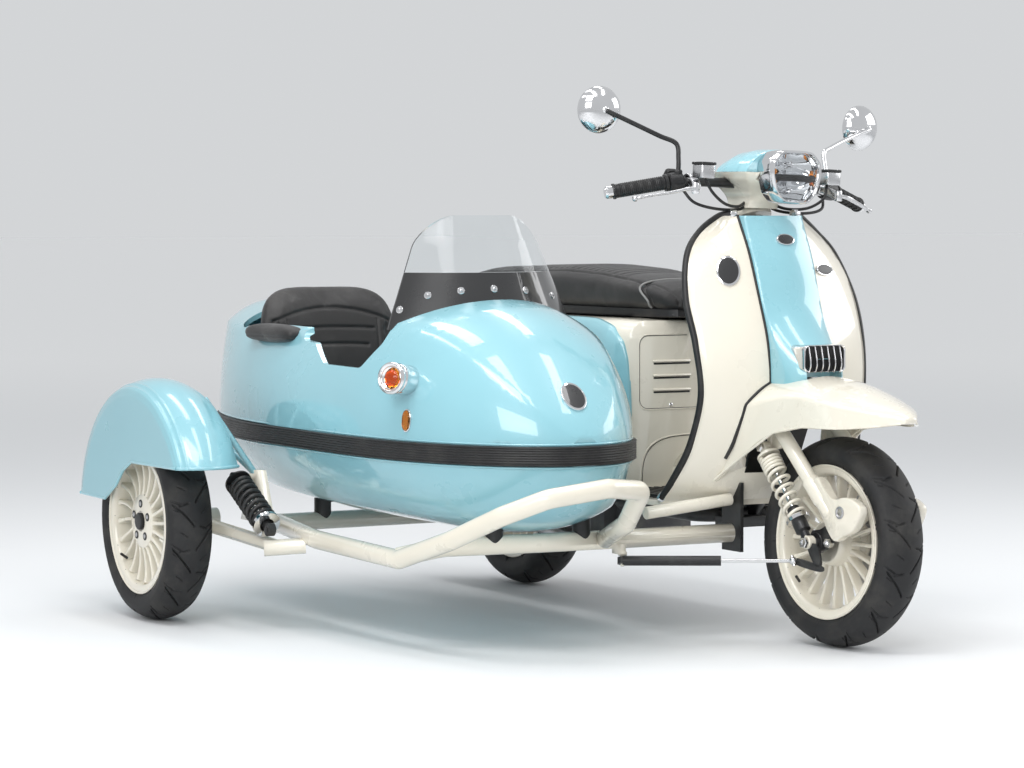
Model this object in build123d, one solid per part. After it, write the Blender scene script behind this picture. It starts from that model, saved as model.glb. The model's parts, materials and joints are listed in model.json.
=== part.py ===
from build123d import *
import math
import os

os.makedirs("parts", exist_ok=True)

# A scooter with a single-seat sidecar on its right, in millimetres.
# While it is being built the origin is on the floor under the rear axle, on the scooter's
# centre plane: +X forward, +Y left, +Z up. The last lines move it to its own reference point,
# on the floor in the middle of its outer box.

# ---------------------------------------------------------------- clearances
RUN_GAP = 0.05               # a shaft in its bore
SEAT_GAP = 0.3               # pieces that only rest together

# ---------------------------------------------------------------- wheels
WHEELBASE = 1390.0
FRONT_TYRE_R = 229.4
FRONT_TYRE_W = 110.0
REAR_TYRE_R = 236.4
REAR_TYRE_W = 120.0
SIDE_LEAD = 211.0            # the sidecar axle is this far ahead of the rear axle
SIDE_TRACK = 1114.0          # and its wheel this far to the right
BEAD_R = 152.4
FLANGE_R = 168.0
RIM_W = 84.0                 # between the flanges
FLANGE_T = 4.0
RIM_T = 6.0
HUB_R = 46.0
HUB_W = 92.0
AXLE_R = 10.0
SPOKE_DEPTH = 26.0
SPOKE_T = 9.0
SPOKE_INSET = 6.0            # from the outer edge of the rim
FRONT_SPOKES = 20
SIDE_SPOKES = 16
SPOKE_SWEEP = 26.0           # degrees that a curved spoke swings round between hub and rim
DISC_R = 100.0
DISC_T = 4.0
DISC_Y = 54.0

# ---------------------------------------------------------------- steering
STEER_LEAN = 25.0            # degrees from the vertical
STEER_FOOT_X = 1465.0        # where the axis meets the floor
STEER_REST = 5.5             # degrees to the left at rest
STEM_R = 15.0
HEAD_R = 27.0
HEAD_LOW_Z = 590.0
HEAD_TOP_Z = 905.0
NECK_Z = 956.0
CROWN_Z = 548.0
LEG_Y = 84.0
LEG_R = 17.0
LEG_BEND = 40.0
LEG_TOP_X = 1215.0
LEG_TOP_Z = 508.0
LINK_PIVOT_X = 1493.0
LINK_PIVOT_Z = 303.0
LINK_Y = 68.0
LINK_T = 12.0
SHOCK_Y = 94.0
SHOCK_TOP_X = 1226.0
SHOCK_TOP_Z = 426.0
SPRING_R = 25.0
SHOCK_ROD_R = 9.0
SHOCK_EYE_R = 15.0

# ---------------------------------------------------------------- scooter body
FLOOR_Z = 305.0
FLOOR_T = 12.0
FLOOR_REAR_X = 800.3
FLOOR_HALF = 268.0
SHIELD_T = 12.0
BODY_T = 8.0
BODY_CORNER = 46.0
FRAME_R = 22.0
RAIL_R = 17.0
RAIL_Y = 118.0
RAIL_Z = 262.0
DOWN_X = 1052.0              # foot of the down tube
SEAT_Z = 706.0
SEAT_PAN_T = 8.0
SEAT_HINGE_X = 822.0

# Leg shield: height, half width, x of the edge, x of the middle
SHIELD = (
    (305.0, 262.0, 1066.0, 1130.0),
    (350.0, 248.0, 1096.0, 1165.0),
    (433.0, 226.0, 1136.0, 1205.0),
    (545.0, 218.0, 1168.0, 1229.0),
    (655.0, 224.0, 1155.0, 1224.0),
    (754.0, 226.0, 1118.0, 1193.0),
    (850.0, 200.0, 1080.0, 1160.0),
    (903.0, 157.0, 1064.0, 1136.0),
    (940.0, 108.0, 1070.0, 1118.0),
)
# Centre panel: row of SHIELD, half width, x of the front corner, x of the front middle
PANEL = (
    (3, 74.0, 1262.0, 1318.0),
    (4, 76.0, 1246.0, 1288.0),
    (5, 78.0, 1192.0, 1209.0),
    (6, 80.0, 1158.0, 1178.0),
    (7, 80.0, 1133.0, 1152.0),
    (8, 78.0, 1120.0, 1134.0),
)
# Front mudguard: x, half width, lower edge z, crest z
GUARD = (
    (1110.0, 178.0, 330.0, 590.0),
    (1200.0, 140.0, 405.0, 590.0),
    (1300.0, 122.0, 465.0, 590.0),
    (1400.0, 114.0, 483.0, 584.0),
    (1500.0, 100.0, 485.0, 563.0),
    (1585.0, 62.0, 492.0, 540.0),
    (1645.0, 14.0, 502.0, 514.0),
)
GUARD_T = 5.0
# Body under the seat: x, half width, lower edge z, top z
BODY = (
    (800.0, 180.0, 305.0, 696.0),
    (740.0, 196.0, 305.0, 700.0),
    (500.0, 200.0, 340.0, 700.0),
    (200.0, 196.0, 400.0, 698.0),
    (-60.0, 170.0, 440.0, 690.0),
    (-170.0, 132.0, 470.0, 672.0),
    (-213.0, 96.0, 500.0, 650.0),
)
PANEL_BULGE = (9.0, 22.0, 34.0, 34.0, 28.0, 18.0, 8.0)    # of the side panels, at each row of BODY
# Seat cushion: x, half width, top z
SEAT = (
    (-150.0, 96.0, 770.0),
    (-90.0, 128.0, 800.0),
    (150.0, 146.0, 816.0),
    (400.0, 146.0, 822.0),
    (640.0, 134.0, 804.0),
    (780.0, 116.0, 782.0),
    (845.0, 78.0, 745.0),
)
# Headset: height, back x, front corner x, half width, bow of the front
NECK = (
    (NECK_Z, 1002.0, 1070.0, 44.0, 22.0),
    (990.0, 992.0, 1090.0, 52.0, 26.0),
    (1016.0, 990.0, 1120.0, 84.0, 30.0),
    (1034.0, 994.0, 1132.0, 100.0, 30.0),
)
CREST = (
    (1034.3, 994.0, 1132.0, 100.0, 30.0),
    (1062.0, 1014.0, 1134.0, 88.0, 32.0),
    (1086.0, 1052.0, 1136.0, 58.0, 28.0),
)
LAMP_X = 1132.0
LAMP_Z = 1026.0
LAMP_HALF_W = 72.0
LAMP_HALF_H = 60.0
LAMP_LEN = 60.0
LAMP_CORNER = 26.0
LAMP_RIM = 9.0
LAMP_DEEP = 12.0

# ---------------------------------------------------------------- sidecar body
CAR_Y = -600.0
CAR_HALF = 300.0
CAR_NOSE_X = 1310.0
CAR_TAIL_X = -330.0
CAR_FORE_X = 650.0           # the plan narrows ahead of this
CAR_AFT_X = 350.0            # and behind this
CAR_T = 10.0
BAND_Z = 412.0
BAND_H = 44.0
BAND_OUT = 10.0
# Cowl: x, top z, shoulder width as a share of the plan
COWL = (
    (-326.0, 640.0, 0.90),
    (-290.0, 706.0, 0.90),
    (-190.0, 732.0, 0.88),
    (50.0, 728.0, 0.82),
    (350.0, 728.0, 0.78),
    (650.0, 748.0, 0.75),
    (900.0, 764.0, 0.74),
    (1050.0, 722.0, 0.74),
    (1180.0, 636.0, 0.74),
    (1265.0, 545.0, 0.74),
    (1307.0, 476.0, 0.74),
)
# Hull: x, keel z, shoulder width as a share of the plan
HULL = (
    (-326.0, 398.0, 0.74),
    (-250.0, 352.0, 0.74),
    (-100.0, 305.0, 0.74),
    (150.0, 268.0, 0.74),
    (500.0, 250.0, 0.74),
    (900.0, 248.0, 0.74),
    (1100.0, 256.0, 0.74),
    (1200.0, 288.0, 0.74),
    (1270.0, 346.0, 0.74),
    (1307.0, 400.0, 0.74),
)
# Windscreen: height, x of the middle, half width, depth of the bow
SCREEN = (
    (715.0, 962.0, 226.0, 118.0),
    (815.0, 930.0, 186.0, 96.0),
    (941.0, 872.0, 128.0, 52.0),
)
SCREEN_T = 5.0
MOUTH_X0 = -20.0             # cockpit mouth, seen from above
MOUTH_X1 = 862.0
MOUTH_HALF = 214.0

# ---------------------------------------------------------------- sidecar chassis
TUBE_R = 21.0
CAR_LOW_Z = 236.0
JOINT_X = 1124.0             # joints on the scooter's right that carry the sidecar
JOINT_Y = -124.0
JOINT_LOW_Z = 233.0
JOINT_HIGH_Z = 312.0
REAR_JOINT_X = 300.0
DAMPER_FOOT = (1159.0, -418.0, 188.0)
DAMPER_EYE = (1353.0, -105.0, 186.0)      # with the wheel straight ahead
DAMPER_PIN_R = 4.0
DAMPER_R = 11.0
DAMPER_ROD_R = 4.0
DAMPER_LEN = 215.0

TAN_LEAN = math.tan(math.radians(STEER_LEAN))
STEER_UP = Vector(-math.sin(math.radians(STEER_LEAN)), 0, math.cos(math.radians(STEER_LEAN)))
STEER_AXIS = Axis((STEER_FOOT_X, 0, 0), tuple(STEER_UP))
WAIST_Z = BAND_Z + BAND_H
FRONT_HUB = (WHEELBASE, 0.0, FRONT_TYRE_R)
REAR_HUB = (0.0, 0.0, REAR_TYRE_R)
SIDE_HUB = (SIDE_LEAD, -SIDE_TRACK, FRONT_TYRE_R)


# ---------------------------------------------------------------- helpers

def steer_x(z):
    """x of the steering axis at height z."""
    return STEER_FOOT_X - TAN_LEAN * z


def steered(piece):
    """Turns a piece drawn straight ahead to the resting steering angle."""
    if isinstance(piece, list):
        return [steered(solid) for solid in piece]
    return piece.rotate(STEER_AXIS, STEER_REST)


def steered_point(point):
    """Where a point drawn straight ahead is at the resting steering angle."""
    turn = math.radians(STEER_REST)
    arm = Vector(*point) - Vector(STEER_FOOT_X, 0, 0)
    along = STEER_UP * STEER_UP.dot(arm) * (1 - math.cos(turn))
    return Vector(STEER_FOOT_X, 0, 0) + arm * math.cos(turn) + STEER_UP.cross(arm) * math.sin(turn) + along


def box(x0, x1, y0, y1, z0, z1):
    """A block between two corners, given in any order."""
    (x0, x1), (y0, y1), (z0, z1) = sorted((x0, x1)), sorted((y0, y1)), sorted((z0, z1))
    return Pos((x0 + x1) / 2, (y0 + y1) / 2, (z0 + z1) / 2) * Box(x1 - x0, y1 - y0, z1 - z0)


def rod(start, end, radius):
    """A round bar from one point to another."""
    run = Vector(*end) - Vector(*start)
    low = (Align.CENTER, Align.CENTER, Align.MIN)
    return Plane(origin=start, z_dir=run) * Cylinder(radius, run.length, align=low)


def bent(points, radius, bend):
    """A round bar along straight runs joined by arcs of one radius."""
    pts = [Vector(*p) for p in points]
    edges = []
    at = pts[0]
    for before, corner, after in zip(pts, pts[1:], pts[2:]):
        to_before = (before - corner).normalized()
        to_after = (after - corner).normalized()
        half = math.acos(max(-1.0, min(1.0, to_before.dot(to_after)))) / 2
        enter = corner + to_before * (bend / math.tan(half))
        leave = corner + to_after * (bend / math.tan(half))
        middle = corner + (to_before + to_after).normalized() * (bend / math.sin(half) - bend)
        edges.append(Line(at, enter))
        edges.append(ThreePointArc(enter, middle, leave))
        at = leave
    edges.append(Line(at, pts[-1]))
    start = Plane(origin=pts[0], z_dir=pts[1] - pts[0])
    return sweep(start * Circle(radius), path=Wire(edges))


def slab(outline, y0, y1):
    """A plate with an outline of (x, z) points, from y0 to y1."""
    wire = Polyline(*[(x, y0, z) for x, z in outline], close=True)
    return extrude(Face(Wire(wire.edges())), amount=y1 - y0, dir=(0, 1, 0))


def turned(edges, centre):
    """A ring turned about an axle along Y. The edges are drawn as (radius, distance along it)."""
    return Pos(*centre) * revolve(Face(Wire(edges)), axis=Axis.Y)


def ring(r_in, r_out, y0, y1, centre):
    """A plain flat ring about an axle along Y."""
    corners = [(r_in, y0), (r_out, y0), (r_out, y1), (r_in, y1)]
    return turned(Polyline(*corners, close=True).edges(), centre)


def mirrored(solid, plane_y=0.0):
    """The mirror image of a piece about a plane of constant y."""
    return mirror(solid, about=Plane(origin=(0, plane_y, 0), z_dir=(0, 1, 0)))


def loft(sections):
    return Solid.make_loft(sections)


def ends_in(rows, inset):
    """The same stations, with the first and the last drawn in by a wall."""
    step = math.copysign(inset, rows[-1][0] - rows[0][0])
    first = (rows[0][0] + step,) + tuple(rows[0][1:])
    last = (rows[-1][0] - step,) + tuple(rows[-1][1:])
    return (first,) + tuple(rows[1:-1]) + (last,)


# ---------------------------------------------------------------- wheels

def tyre(radius, width, centre):
    """Solid of a tyre: two bead faces, round sidewalls and a round crown."""
    half = width / 2
    bead = RIM_W / 2 - SEAT_GAP
    seat = BEAD_R + SEAT_GAP
    shoulder_r = radius - 0.32 * half
    shoulder_y = 0.86 * half
    wide_r = FLANGE_R + (radius - FLANGE_R) * 0.36
    edges = [
        Line((seat, -bead), (FLANGE_R, -bead)),
        ThreePointArc((FLANGE_R, -bead), (wide_r, -half), (shoulder_r, -shoulder_y)),
        ThreePointArc((shoulder_r, -shoulder_y), (radius, 0), (shoulder_r, shoulder_y)),
        ThreePointArc((shoulder_r, shoulder_y), (wide_r, half), (FLANGE_R, bead)),
        Line((FLANGE_R, bead), (seat, bead)),
        Line((seat, bead), (seat, -bead)),
    ]
    return turned(edges, centre)


def barrel(centre):
    """Rim: bead seat between two flanges."""
    half = RIM_W / 2
    out = half + FLANGE_T
    inner = BEAD_R - RIM_T
    corners = [(inner, -out), (FLANGE_R, -out), (FLANGE_R, -half), (BEAD_R, -half),
               (BEAD_R, half), (FLANGE_R, half), (FLANGE_R, out), (inner, out)]
    return turned(Polyline(*corners, close=True).edges(), centre)


def spoke(sweep_deg):
    """One blade from hub to rim along +X, its outer side on the rim's right."""
    inner = HUB_R - 4
    outer = BEAD_R - RIM_T / 2
    side = SPOKE_T / 2
    swing = math.radians(sweep_deg)
    tip_x = outer * math.cos(swing)
    tip_z = outer * math.sin(swing)
    mid_x = (inner + outer) / 2 * math.cos(swing * 0.28)
    mid_z = (inner + outer) / 2 * math.sin(swing * 0.28)
    y0 = SPOKE_INSET - RIM_W / 2
    if sweep_deg:
        near = ThreePointArc((inner, y0, -side), (mid_x, y0, mid_z - side), (tip_x, y0, tip_z - side))
        far = ThreePointArc((tip_x, y0, tip_z + side), (mid_x, y0, mid_z + side), (inner, y0, side))
    else:
        near = Line((inner, y0, -side), (tip_x, y0, -side))
        far = Line((tip_x, y0, side), (inner, y0, side))
    blade = Wire([near, Line(near @ 1, far @ 0), far, Line(far @ 1, near @ 0)])
    return extrude(Face(blade), amount=SPOKE_DEPTH, dir=(0, 1, 0))


def wheel_rim(centre, spokes, sweep_deg):
    """Cast wheel: hub, blades and barrel, bored for its axle."""
    rim = barrel(centre) + ring(AXLE_R + RUN_GAP, HUB_R, -HUB_W / 2, HUB_W / 2, centre)
    blade = spoke(sweep_deg)
    step = 360 / spokes
    rim += [Pos(*centre) * (Rot(0, step * i, 0) * blade) for i in range(spokes)]
    bore = Pos(*centre) * (Rot(90, 0, 0) * Cylinder(AXLE_R + RUN_GAP, HUB_W * 2))
    return rim - bore


def wheels():
    """Three wheels; the front one also has its brake disc."""
    disc = ring(HUB_R - 14, DISC_R, DISC_Y - DISC_T / 2, DISC_Y + DISC_T / 2, FRONT_HUB)
    disc += ring(HUB_R - 14, HUB_R, HUB_W / 2, DISC_Y, FRONT_HUB)
    return {
        "front_rim": steered(wheel_rim(FRONT_HUB, FRONT_SPOKES, 0)),
        "front_tyre": steered(tyre(FRONT_TYRE_R, FRONT_TYRE_W, FRONT_HUB)),
        "brake_disc": steered(disc),
        "rear_rim": wheel_rim(REAR_HUB, FRONT_SPOKES, 0),
        "rear_tyre": tyre(REAR_TYRE_R, REAR_TYRE_W, REAR_HUB),
        "sidecar_rim": wheel_rim(SIDE_HUB, SIDE_SPOKES, SPOKE_SWEEP),
        "sidecar_tyre": tyre(FRONT_TYRE_R, FRONT_TYRE_W, SIDE_HUB),
    }


# ---------------------------------------------------------------- outlines of the shells

def shield_section(row, thickness):
    """Level outline of the leg shield: an arc across the front, and the same arc behind it."""
    z, half, edge_x, mid_x = row
    front = ThreePointArc((edge_x, -half, z), (mid_x, 0, z), (edge_x, half, z))
    back = ThreePointArc((edge_x - thickness, half, z), (mid_x - thickness, 0, z),
                         (edge_x - thickness, -half, z))
    return Wire([front, Line(front @ 1, back @ 0), back, Line(back @ 1, front @ 0)])


def shield_x(row, y):
    """x of the leg shield's front face on one row of SHIELD, at a distance y from the middle."""
    half, edge_x, mid_x = SHIELD[row][1:]
    rise = mid_x - edge_x
    arc_r = (half * half + rise * rise) / (2 * rise)
    return mid_x - arc_r + math.sqrt(arc_r * arc_r - y * y)


def panel_section(row, half, corner_x, mid_x):
    """Level outline of the centre panel, its back sunk halfway into the leg shield."""
    z = SHIELD[row][0]
    inset = SHIELD_T / 2
    back_x = shield_x(row, half) - inset
    back = ThreePointArc((back_x, half, z), (shield_x(row, 0) - inset, 0, z), (back_x, -half, z))
    front = ThreePointArc((corner_x, -half, z), (mid_x, 0, z), (corner_x, half, z))
    return Wire([back, Line(back @ 1, front @ 0), front, Line(front @ 1, back @ 0)])


def guard_section(x, half, low, top, inset=0.0, drop=0.0):
    """Upright outline across the front mudguard: flat foot, leaning sides and a round crown."""
    half -= inset
    top -= inset
    low -= drop
    hip_z = low + (top - low) * 0.62
    hip_y = half * 0.92
    crown = ThreePointArc((x, hip_y, hip_z), (x, 0, top), (x, -hip_y, hip_z))
    foot = Line((x, -half, low), (x, half, low))
    return Wire([foot, Line(foot @ 1, crown @ 0), crown, Line(crown @ 1, foot @ 0)])


def body_section(x, half, low, top, inset=0.0, drop=0.0):
    """Upright outline across the body: straight sides, round upper corners and a flat top."""
    half -= inset
    top -= inset
    low -= drop
    turn = BODY_CORNER * (1 - math.sqrt(0.5))
    pts = [(x, -half, low), (x, half, low), (x, half, top - BODY_CORNER),
           (x, half - turn, top - turn), (x, half - BODY_CORNER, top),
           (x, BODY_CORNER - half, top), (x, turn - half, top - turn), (x, -half, top - BODY_CORNER)]
    return Wire([Line(pts[0], pts[1]), Line(pts[1], pts[2]), ThreePointArc(*pts[2:5]),
                 Line(pts[4], pts[5]), ThreePointArc(*pts[5:8]), Line(pts[7], pts[0])])


def seat_section(x, half, low, top):
    """Upright outline across the cushion: flat base, tucked sides and a slightly round top."""
    hip_z = low + (top - low) * 0.72
    mid_z = (low + hip_z) / 2
    base = half * 0.9
    hip = half * 0.94
    return Wire([Line((x, -base, low), (x, base, low)),
                 ThreePointArc((x, base, low), (x, half, mid_z), (x, hip, hip_z)),
                 ThreePointArc((x, hip, hip_z), (x, 0, top), (x, -hip, hip_z)),
                 ThreePointArc((x, -hip, hip_z), (x, -half, mid_z), (x, -base, low))])


def level_section(z, x0, x1, half, bow):
    """Level outline: straight back and sides, and a front that bows forward."""
    back = Line((x0, half, z), (x0, -half, z))
    front = ThreePointArc((x1, -half, z), (x1 + bow, 0, z), (x1, half, z))
    return Wire([back, Line(back @ 1, front @ 0), front, Line(front @ 1, back @ 0)])


def plan_half(x, inset=0.0):
    """Half width of the sidecar's plan at x: full amidships, a blunt nose and a finer tail."""
    half = CAR_HALF - inset
    if x > CAR_FORE_X:
        share = (x - CAR_FORE_X) / (CAR_NOSE_X - inset - CAR_FORE_X)
        return half * math.sqrt(max(0.0, 1 - share ** 2.5))
    if x < CAR_AFT_X:
        share = (CAR_AFT_X - x) / (CAR_AFT_X - CAR_TAIL_X - inset)
        return half * math.sqrt(max(0.0, 1 - share ** 1.6))
    return half


def car_section(x, far_z, shoulder, inset=0.0):
    """Upright outline across the sidecar from its waist up or down to far_z."""
    half = plan_half(x, inset)
    rise = far_z - math.copysign(inset, far_z - WAIST_Z) - WAIST_Z
    knee_y, knee_z = half * (1 - 0.23 * (1 - shoulder)), WAIST_Z + rise * 0.42
    hip_y, hip_z = half * shoulder, WAIST_Z + rise * 0.80
    y = CAR_Y
    return Wire([Line((x, y - half, WAIST_Z), (x, y + half, WAIST_Z)),
                 ThreePointArc((x, y + half, WAIST_Z), (x, y + knee_y, knee_z), (x, y + hip_y, hip_z)),
                 ThreePointArc((x, y + hip_y, hip_z), (x, y, WAIST_Z + rise), (x, y - hip_y, hip_z)),
                 ThreePointArc((x, y - hip_y, hip_z), (x, y - knee_y, knee_z), (x, y - half, WAIST_Z))])


def screen_section(z, mid_x, half, bow):
    """Level outline of the windscreen: two arcs a sheet apart."""
    edge_x = mid_x - bow
    y = CAR_Y
    front = ThreePointArc((edge_x, y - half, z), (mid_x, y, z), (edge_x, y + half, z))
    back = ThreePointArc((edge_x - SCREEN_T, y + half, z), (mid_x - SCREEN_T, y, z),
                         (edge_x - SCREEN_T, y - half, z))
    return Wire([front, Line(front @ 1, back @ 0), back, Line(back @ 1, front @ 0)])


# ---------------------------------------------------------------- scooter: frame and front
shield_space = loft([shield_section(row, 260.0) for row in SHIELD])
panel_solid = loft([panel_section(*row) for row in PANEL])
head_room = rod((steer_x(500), 0, 500), (steer_x(980), 0, 980), HEAD_R + SEAT_GAP)
down_tube = bent([(steer_x(700), 0, 700), (DOWN_X, 0, RAIL_Z), (640, 0, RAIL_Z)], FRAME_R, 60)
PLATE_X0 = JOINT_X - 44
PLATE_X1 = JOINT_X + 32
PLATE_Y = JOINT_Y + 16
PLATE_T = 8.0


def scooter_frame():
    """Headstock, down tube, two rails and the plate that carries the sidecar's front joints."""
    headstock = rod((steer_x(HEAD_LOW_Z), 0, HEAD_LOW_Z), (steer_x(HEAD_TOP_Z), 0, HEAD_TOP_Z), HEAD_R)
    bore = rod((steer_x(500), 0, 500), (steer_x(980), 0, 980), STEM_R + RUN_GAP)
    rail_y = RAIL_Y * 1.34
    rails = [bent([(DOWN_X, side * 20, RAIL_Z), (DOWN_X - 60, side * RAIL_Y, RAIL_Z),
                   (650, side * RAIL_Y, RAIL_Z), (560, side * rail_y, 560), (170, side * rail_y, 586),
                   (-70, side * RAIL_Y, 600)], RAIL_R, 45) for side in (-1, 1)]
    ties = [rod((-40, -RAIL_Y, 598), (-40, RAIL_Y, 598), RAIL_R),
            rod((680, -RAIL_Y, RAIL_Z), (680, RAIL_Y, RAIL_Z), RAIL_R)]
    drop = rod((REAR_JOINT_X, -rail_y, 580), (REAR_JOINT_X, -rail_y, 340), 13)
    plate = box(PLATE_X0, PLATE_X1, PLATE_Y, PLATE_Y + PLATE_T, 190, 345)
    arm = box(JOINT_X - 84, JOINT_X - 16, PLATE_Y + PLATE_T, 0, 240, 262)
    return headstock + [down_tube, drop, plate, arm] + rails + ties - bore


def horn_grille():
    """A frame with upright bars in front of a shallow hollow."""
    front, depth, half, high, rim, bars = 1316.0, 34.0, 46.0, 27.0, 6.0, 6
    z = 598.0
    grille = box(front - depth, front, -half, half, z - high, z + high)
    grille -= box(front - depth + rim, front + 9, rim - half, half - rim, z - high + rim, z + high - rim)
    step = 2 * half / bars
    grille += [box(front - 14, front - 2, step * i - half - 2.5, step * i - half + 2.5,
                   z - high + rim / 2, z + high - rim / 2) for i in range(1, bars)]
    seat = box(front - depth - SEAT_GAP, front + 60, -half - SEAT_GAP, half + SEAT_GAP,
               z - high - SEAT_GAP, z + high + SEAT_GAP)
    return grille, seat


def front_mudguard():
    """Hollow beak in front of the leg shield."""
    outer = loft([guard_section(*row) for row in GUARD])
    inner = loft([guard_section(*row, GUARD_T, 60) for row in ends_in(GUARD, GUARD_T * 2)])
    return outer - inner - shield_space - panel_solid - head_room


def footboard():
    """Flat floor that follows the leg shield's foot, with a hump in front of the body."""
    foot = SHIELD[0]
    z = FLOOR_Z - FLOOR_T
    front = ThreePointArc((foot[2], -foot[1], z), (foot[3], 0, z), (foot[2], foot[1], z))
    rest = Polyline((foot[2], foot[1], z), (960, FLOOR_HALF, z), (FLOOR_REAR_X, FLOOR_HALF - 28, z),
                    (FLOOR_REAR_X, 28 - FLOOR_HALF, z), (960, -FLOOR_HALF, z), (foot[2], -foot[1], z))
    floor = extrude(Face(Wire([front] + rest.edges())), amount=FLOOR_T, dir=(0, 0, 1))
    x = BODY[0][0] + SEAT_GAP
    arch = ThreePointArc((x, HUMP_HALF, FLOOR_Z), (x, 0, FLOOR_Z + HUMP_H), (x, -HUMP_HALF, FLOOR_Z))
    hump = extrude(Face(Wire([arch, Line(arch @ 1, arch @ 0)])), amount=HUMP_LEN, dir=(1, 0, 0))
    return floor + hump


HUMP_HALF = 62.0
HUMP_H = 92.0
HUMP_LEN = 110.0
MAT_RIBS = 8


def floor_mats():
    """A ribbed rubber mat on each side of the hump."""
    mats = []
    x0, x1 = FLOOR_REAR_X + 20, 1050
    for side in (-1, 1):
        y0 = HUMP_HALF + 8
        pad = box(x0, x1, side * y0, side * (y0 + 21 * MAT_RIBS - 2), FLOOR_Z, FLOOR_Z + 3)
        pad += [box(x0, x1, side * (y0 + 4 + 21 * i), side * (y0 + 15 + 21 * i), FLOOR_Z + 2, FLOOR_Z + 8)
                for i in range(MAT_RIBS)]
        mats.append(pad)
    return mats


grille, grille_seat = horn_grille()
frame = scooter_frame()
wheel_well = loft([guard_section(*row, GUARD_T) for row in GUARD[:4]])
# A notch behind the wheel leaves room for the spring units at full lock
wheel_well += box(1150, 1240, -104, 104, 368, 420)
parts = {
    "scooter_frame": frame,
    "leg_shield": loft([shield_section(row, SHIELD_T) for row in SHIELD]) - head_room - wheel_well - frame,
    "centre_panel": panel_solid - shield_space - head_room - grille_seat - wheel_well,
    "horn_grille": grille,
    "front_mudguard": front_mudguard(),
    "footboard": footboard() - frame,
    "floor_mats": floor_mats(),
}
LINER = ((1158, 470), (1122, 400), (1098, 305.3), (1104, 305.3), (1128, 398), (1164, 470))
parts["wheel_liner"] = slab(LINER, -70, 70) - frame

# ---------------------------------------------------------------- scooter: body, tub and seat
TUB_X0, TUB_X1, TUB_HALF, TUB_Z, TUB_T = 190.0, 690.0, 128.0, 480.0, 4.0
# Side panel's outline on the body: x, z
SIDE_PANEL = ((799, 470), (799, 600), (780, 640), (730, 650), (300, 650), (-60, 640), (-150, 614), (-192, 580),
              (-170, 540), (60, 480), (420, 405), (740, 400), (780, 420))

outer_body = loft([body_section(*row) for row in BODY])
inner_body = loft([body_section(*row, BODY_T, 60) for row in ends_in(BODY, BODY_T)])
parts["body_shell"] = outer_body - inner_body - box(TUB_X0, TUB_X1, -TUB_HALF, TUB_HALF, TUB_Z, SEAT_Z + 40)
tub = box(TUB_X0 + SEAT_GAP, TUB_X1 - SEAT_GAP, SEAT_GAP - TUB_HALF, TUB_HALF - SEAT_GAP, TUB_Z, SEAT_Z - 6)
tub -= box(TUB_X0 + TUB_T, TUB_X1 - TUB_T, TUB_T - TUB_HALF, TUB_HALF - TUB_T, TUB_Z + TUB_T, SEAT_Z + 40)
parts["storage_tub"] = tub
wide_rows = [(x, half + bulge, low, top) for (x, half, low, top), bulge in zip(BODY, PANEL_BULGE)]
cover = (loft([body_section(*row) for row in wide_rows]) & slab(SIDE_PANEL, -300, -60)) - outer_body
parts["side_panels"] = [cover, mirrored(cover)]
pan_top = SEAT_Z + SEAT_PAN_T
parts["seat_cushion"] = loft([seat_section(x, half, pan_top + SEAT_GAP, top) for x, half, top in SEAT])
HINGE_Z = SEAT_Z - 4
HINGE_HALF = 16.0
HINGE_PIN_R = 4.0
pan = box(-110, SEAT_HINGE_X - 24, -66, 66, SEAT_Z, pan_top)
pan += box(SEAT_HINGE_X - 30, SEAT_HINGE_X, -HINGE_HALF, HINGE_HALF, SEAT_Z, pan_top)
pan += rod((SEAT_HINGE_X, -HINGE_HALF, HINGE_Z), (SEAT_HINGE_X, HINGE_HALF, HINGE_Z), 9)
pan -= rod((SEAT_HINGE_X, -60, HINGE_Z), (SEAT_HINGE_X, 60, HINGE_Z), HINGE_PIN_R + RUN_GAP)
parts["seat_pan"] = pan
ears = rod((SEAT_HINGE_X, -HINGE_HALF - 8, HINGE_Z), (SEAT_HINGE_X, HINGE_HALF + 8, HINGE_Z), HINGE_PIN_R)
for side in (-1, 1):
    ears += slab(((790, 640), (790, 676), (SEAT_HINGE_X - 8, HINGE_Z + 4), (SEAT_HINGE_X + 6, HINGE_Z + 4),
                  (SEAT_HINGE_X + 6, HINGE_Z - 8)), side * (HINGE_HALF + 5) - 3, side * (HINGE_HALF + 5) + 3)
parts["body_shell"] += ears - inner_body
# ---------------------------------------------------------------- scooter: inner panel and glovebox
INNER_BACK = 80.0            # from the steering axis to the face behind the leg shield
INNER_HALF = 140.0
DOOR_T = 6.0
BOX_IN = 38.0                # each half of the glovebox, across
BOX_OUT = 116.0
BOX_LOW = -104.0             # and up the face, from 740 mm above the floor
BOX_TOP = 58.0
BOX_DEEP = 75.0
WELL_X = 1134.0              # the wheel well is ahead of this
inner_plane = Plane(origin=(steer_x(740) - INNER_BACK * math.cos(math.radians(STEER_LEAN)), 0,
                            740 - INNER_BACK * math.sin(math.radians(STEER_LEAN))),
                    x_dir=(0, 1, 0), z_dir=(-math.cos(math.radians(STEER_LEAN)), 0,
                                            -math.sin(math.radians(STEER_LEAN))))


def lean_box(y0, y1, up0, up1, out0, out1):
    """A block on the leaning face behind the leg shield: across, up along it, and out from it."""
    centre = Pos((y0 + y1) / 2, -(up0 + up1) / 2, (out0 + out1) / 2)
    return inner_plane * (centre * Box(abs(y1 - y0), abs(up1 - up0), abs(out1 - out0)))


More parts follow.
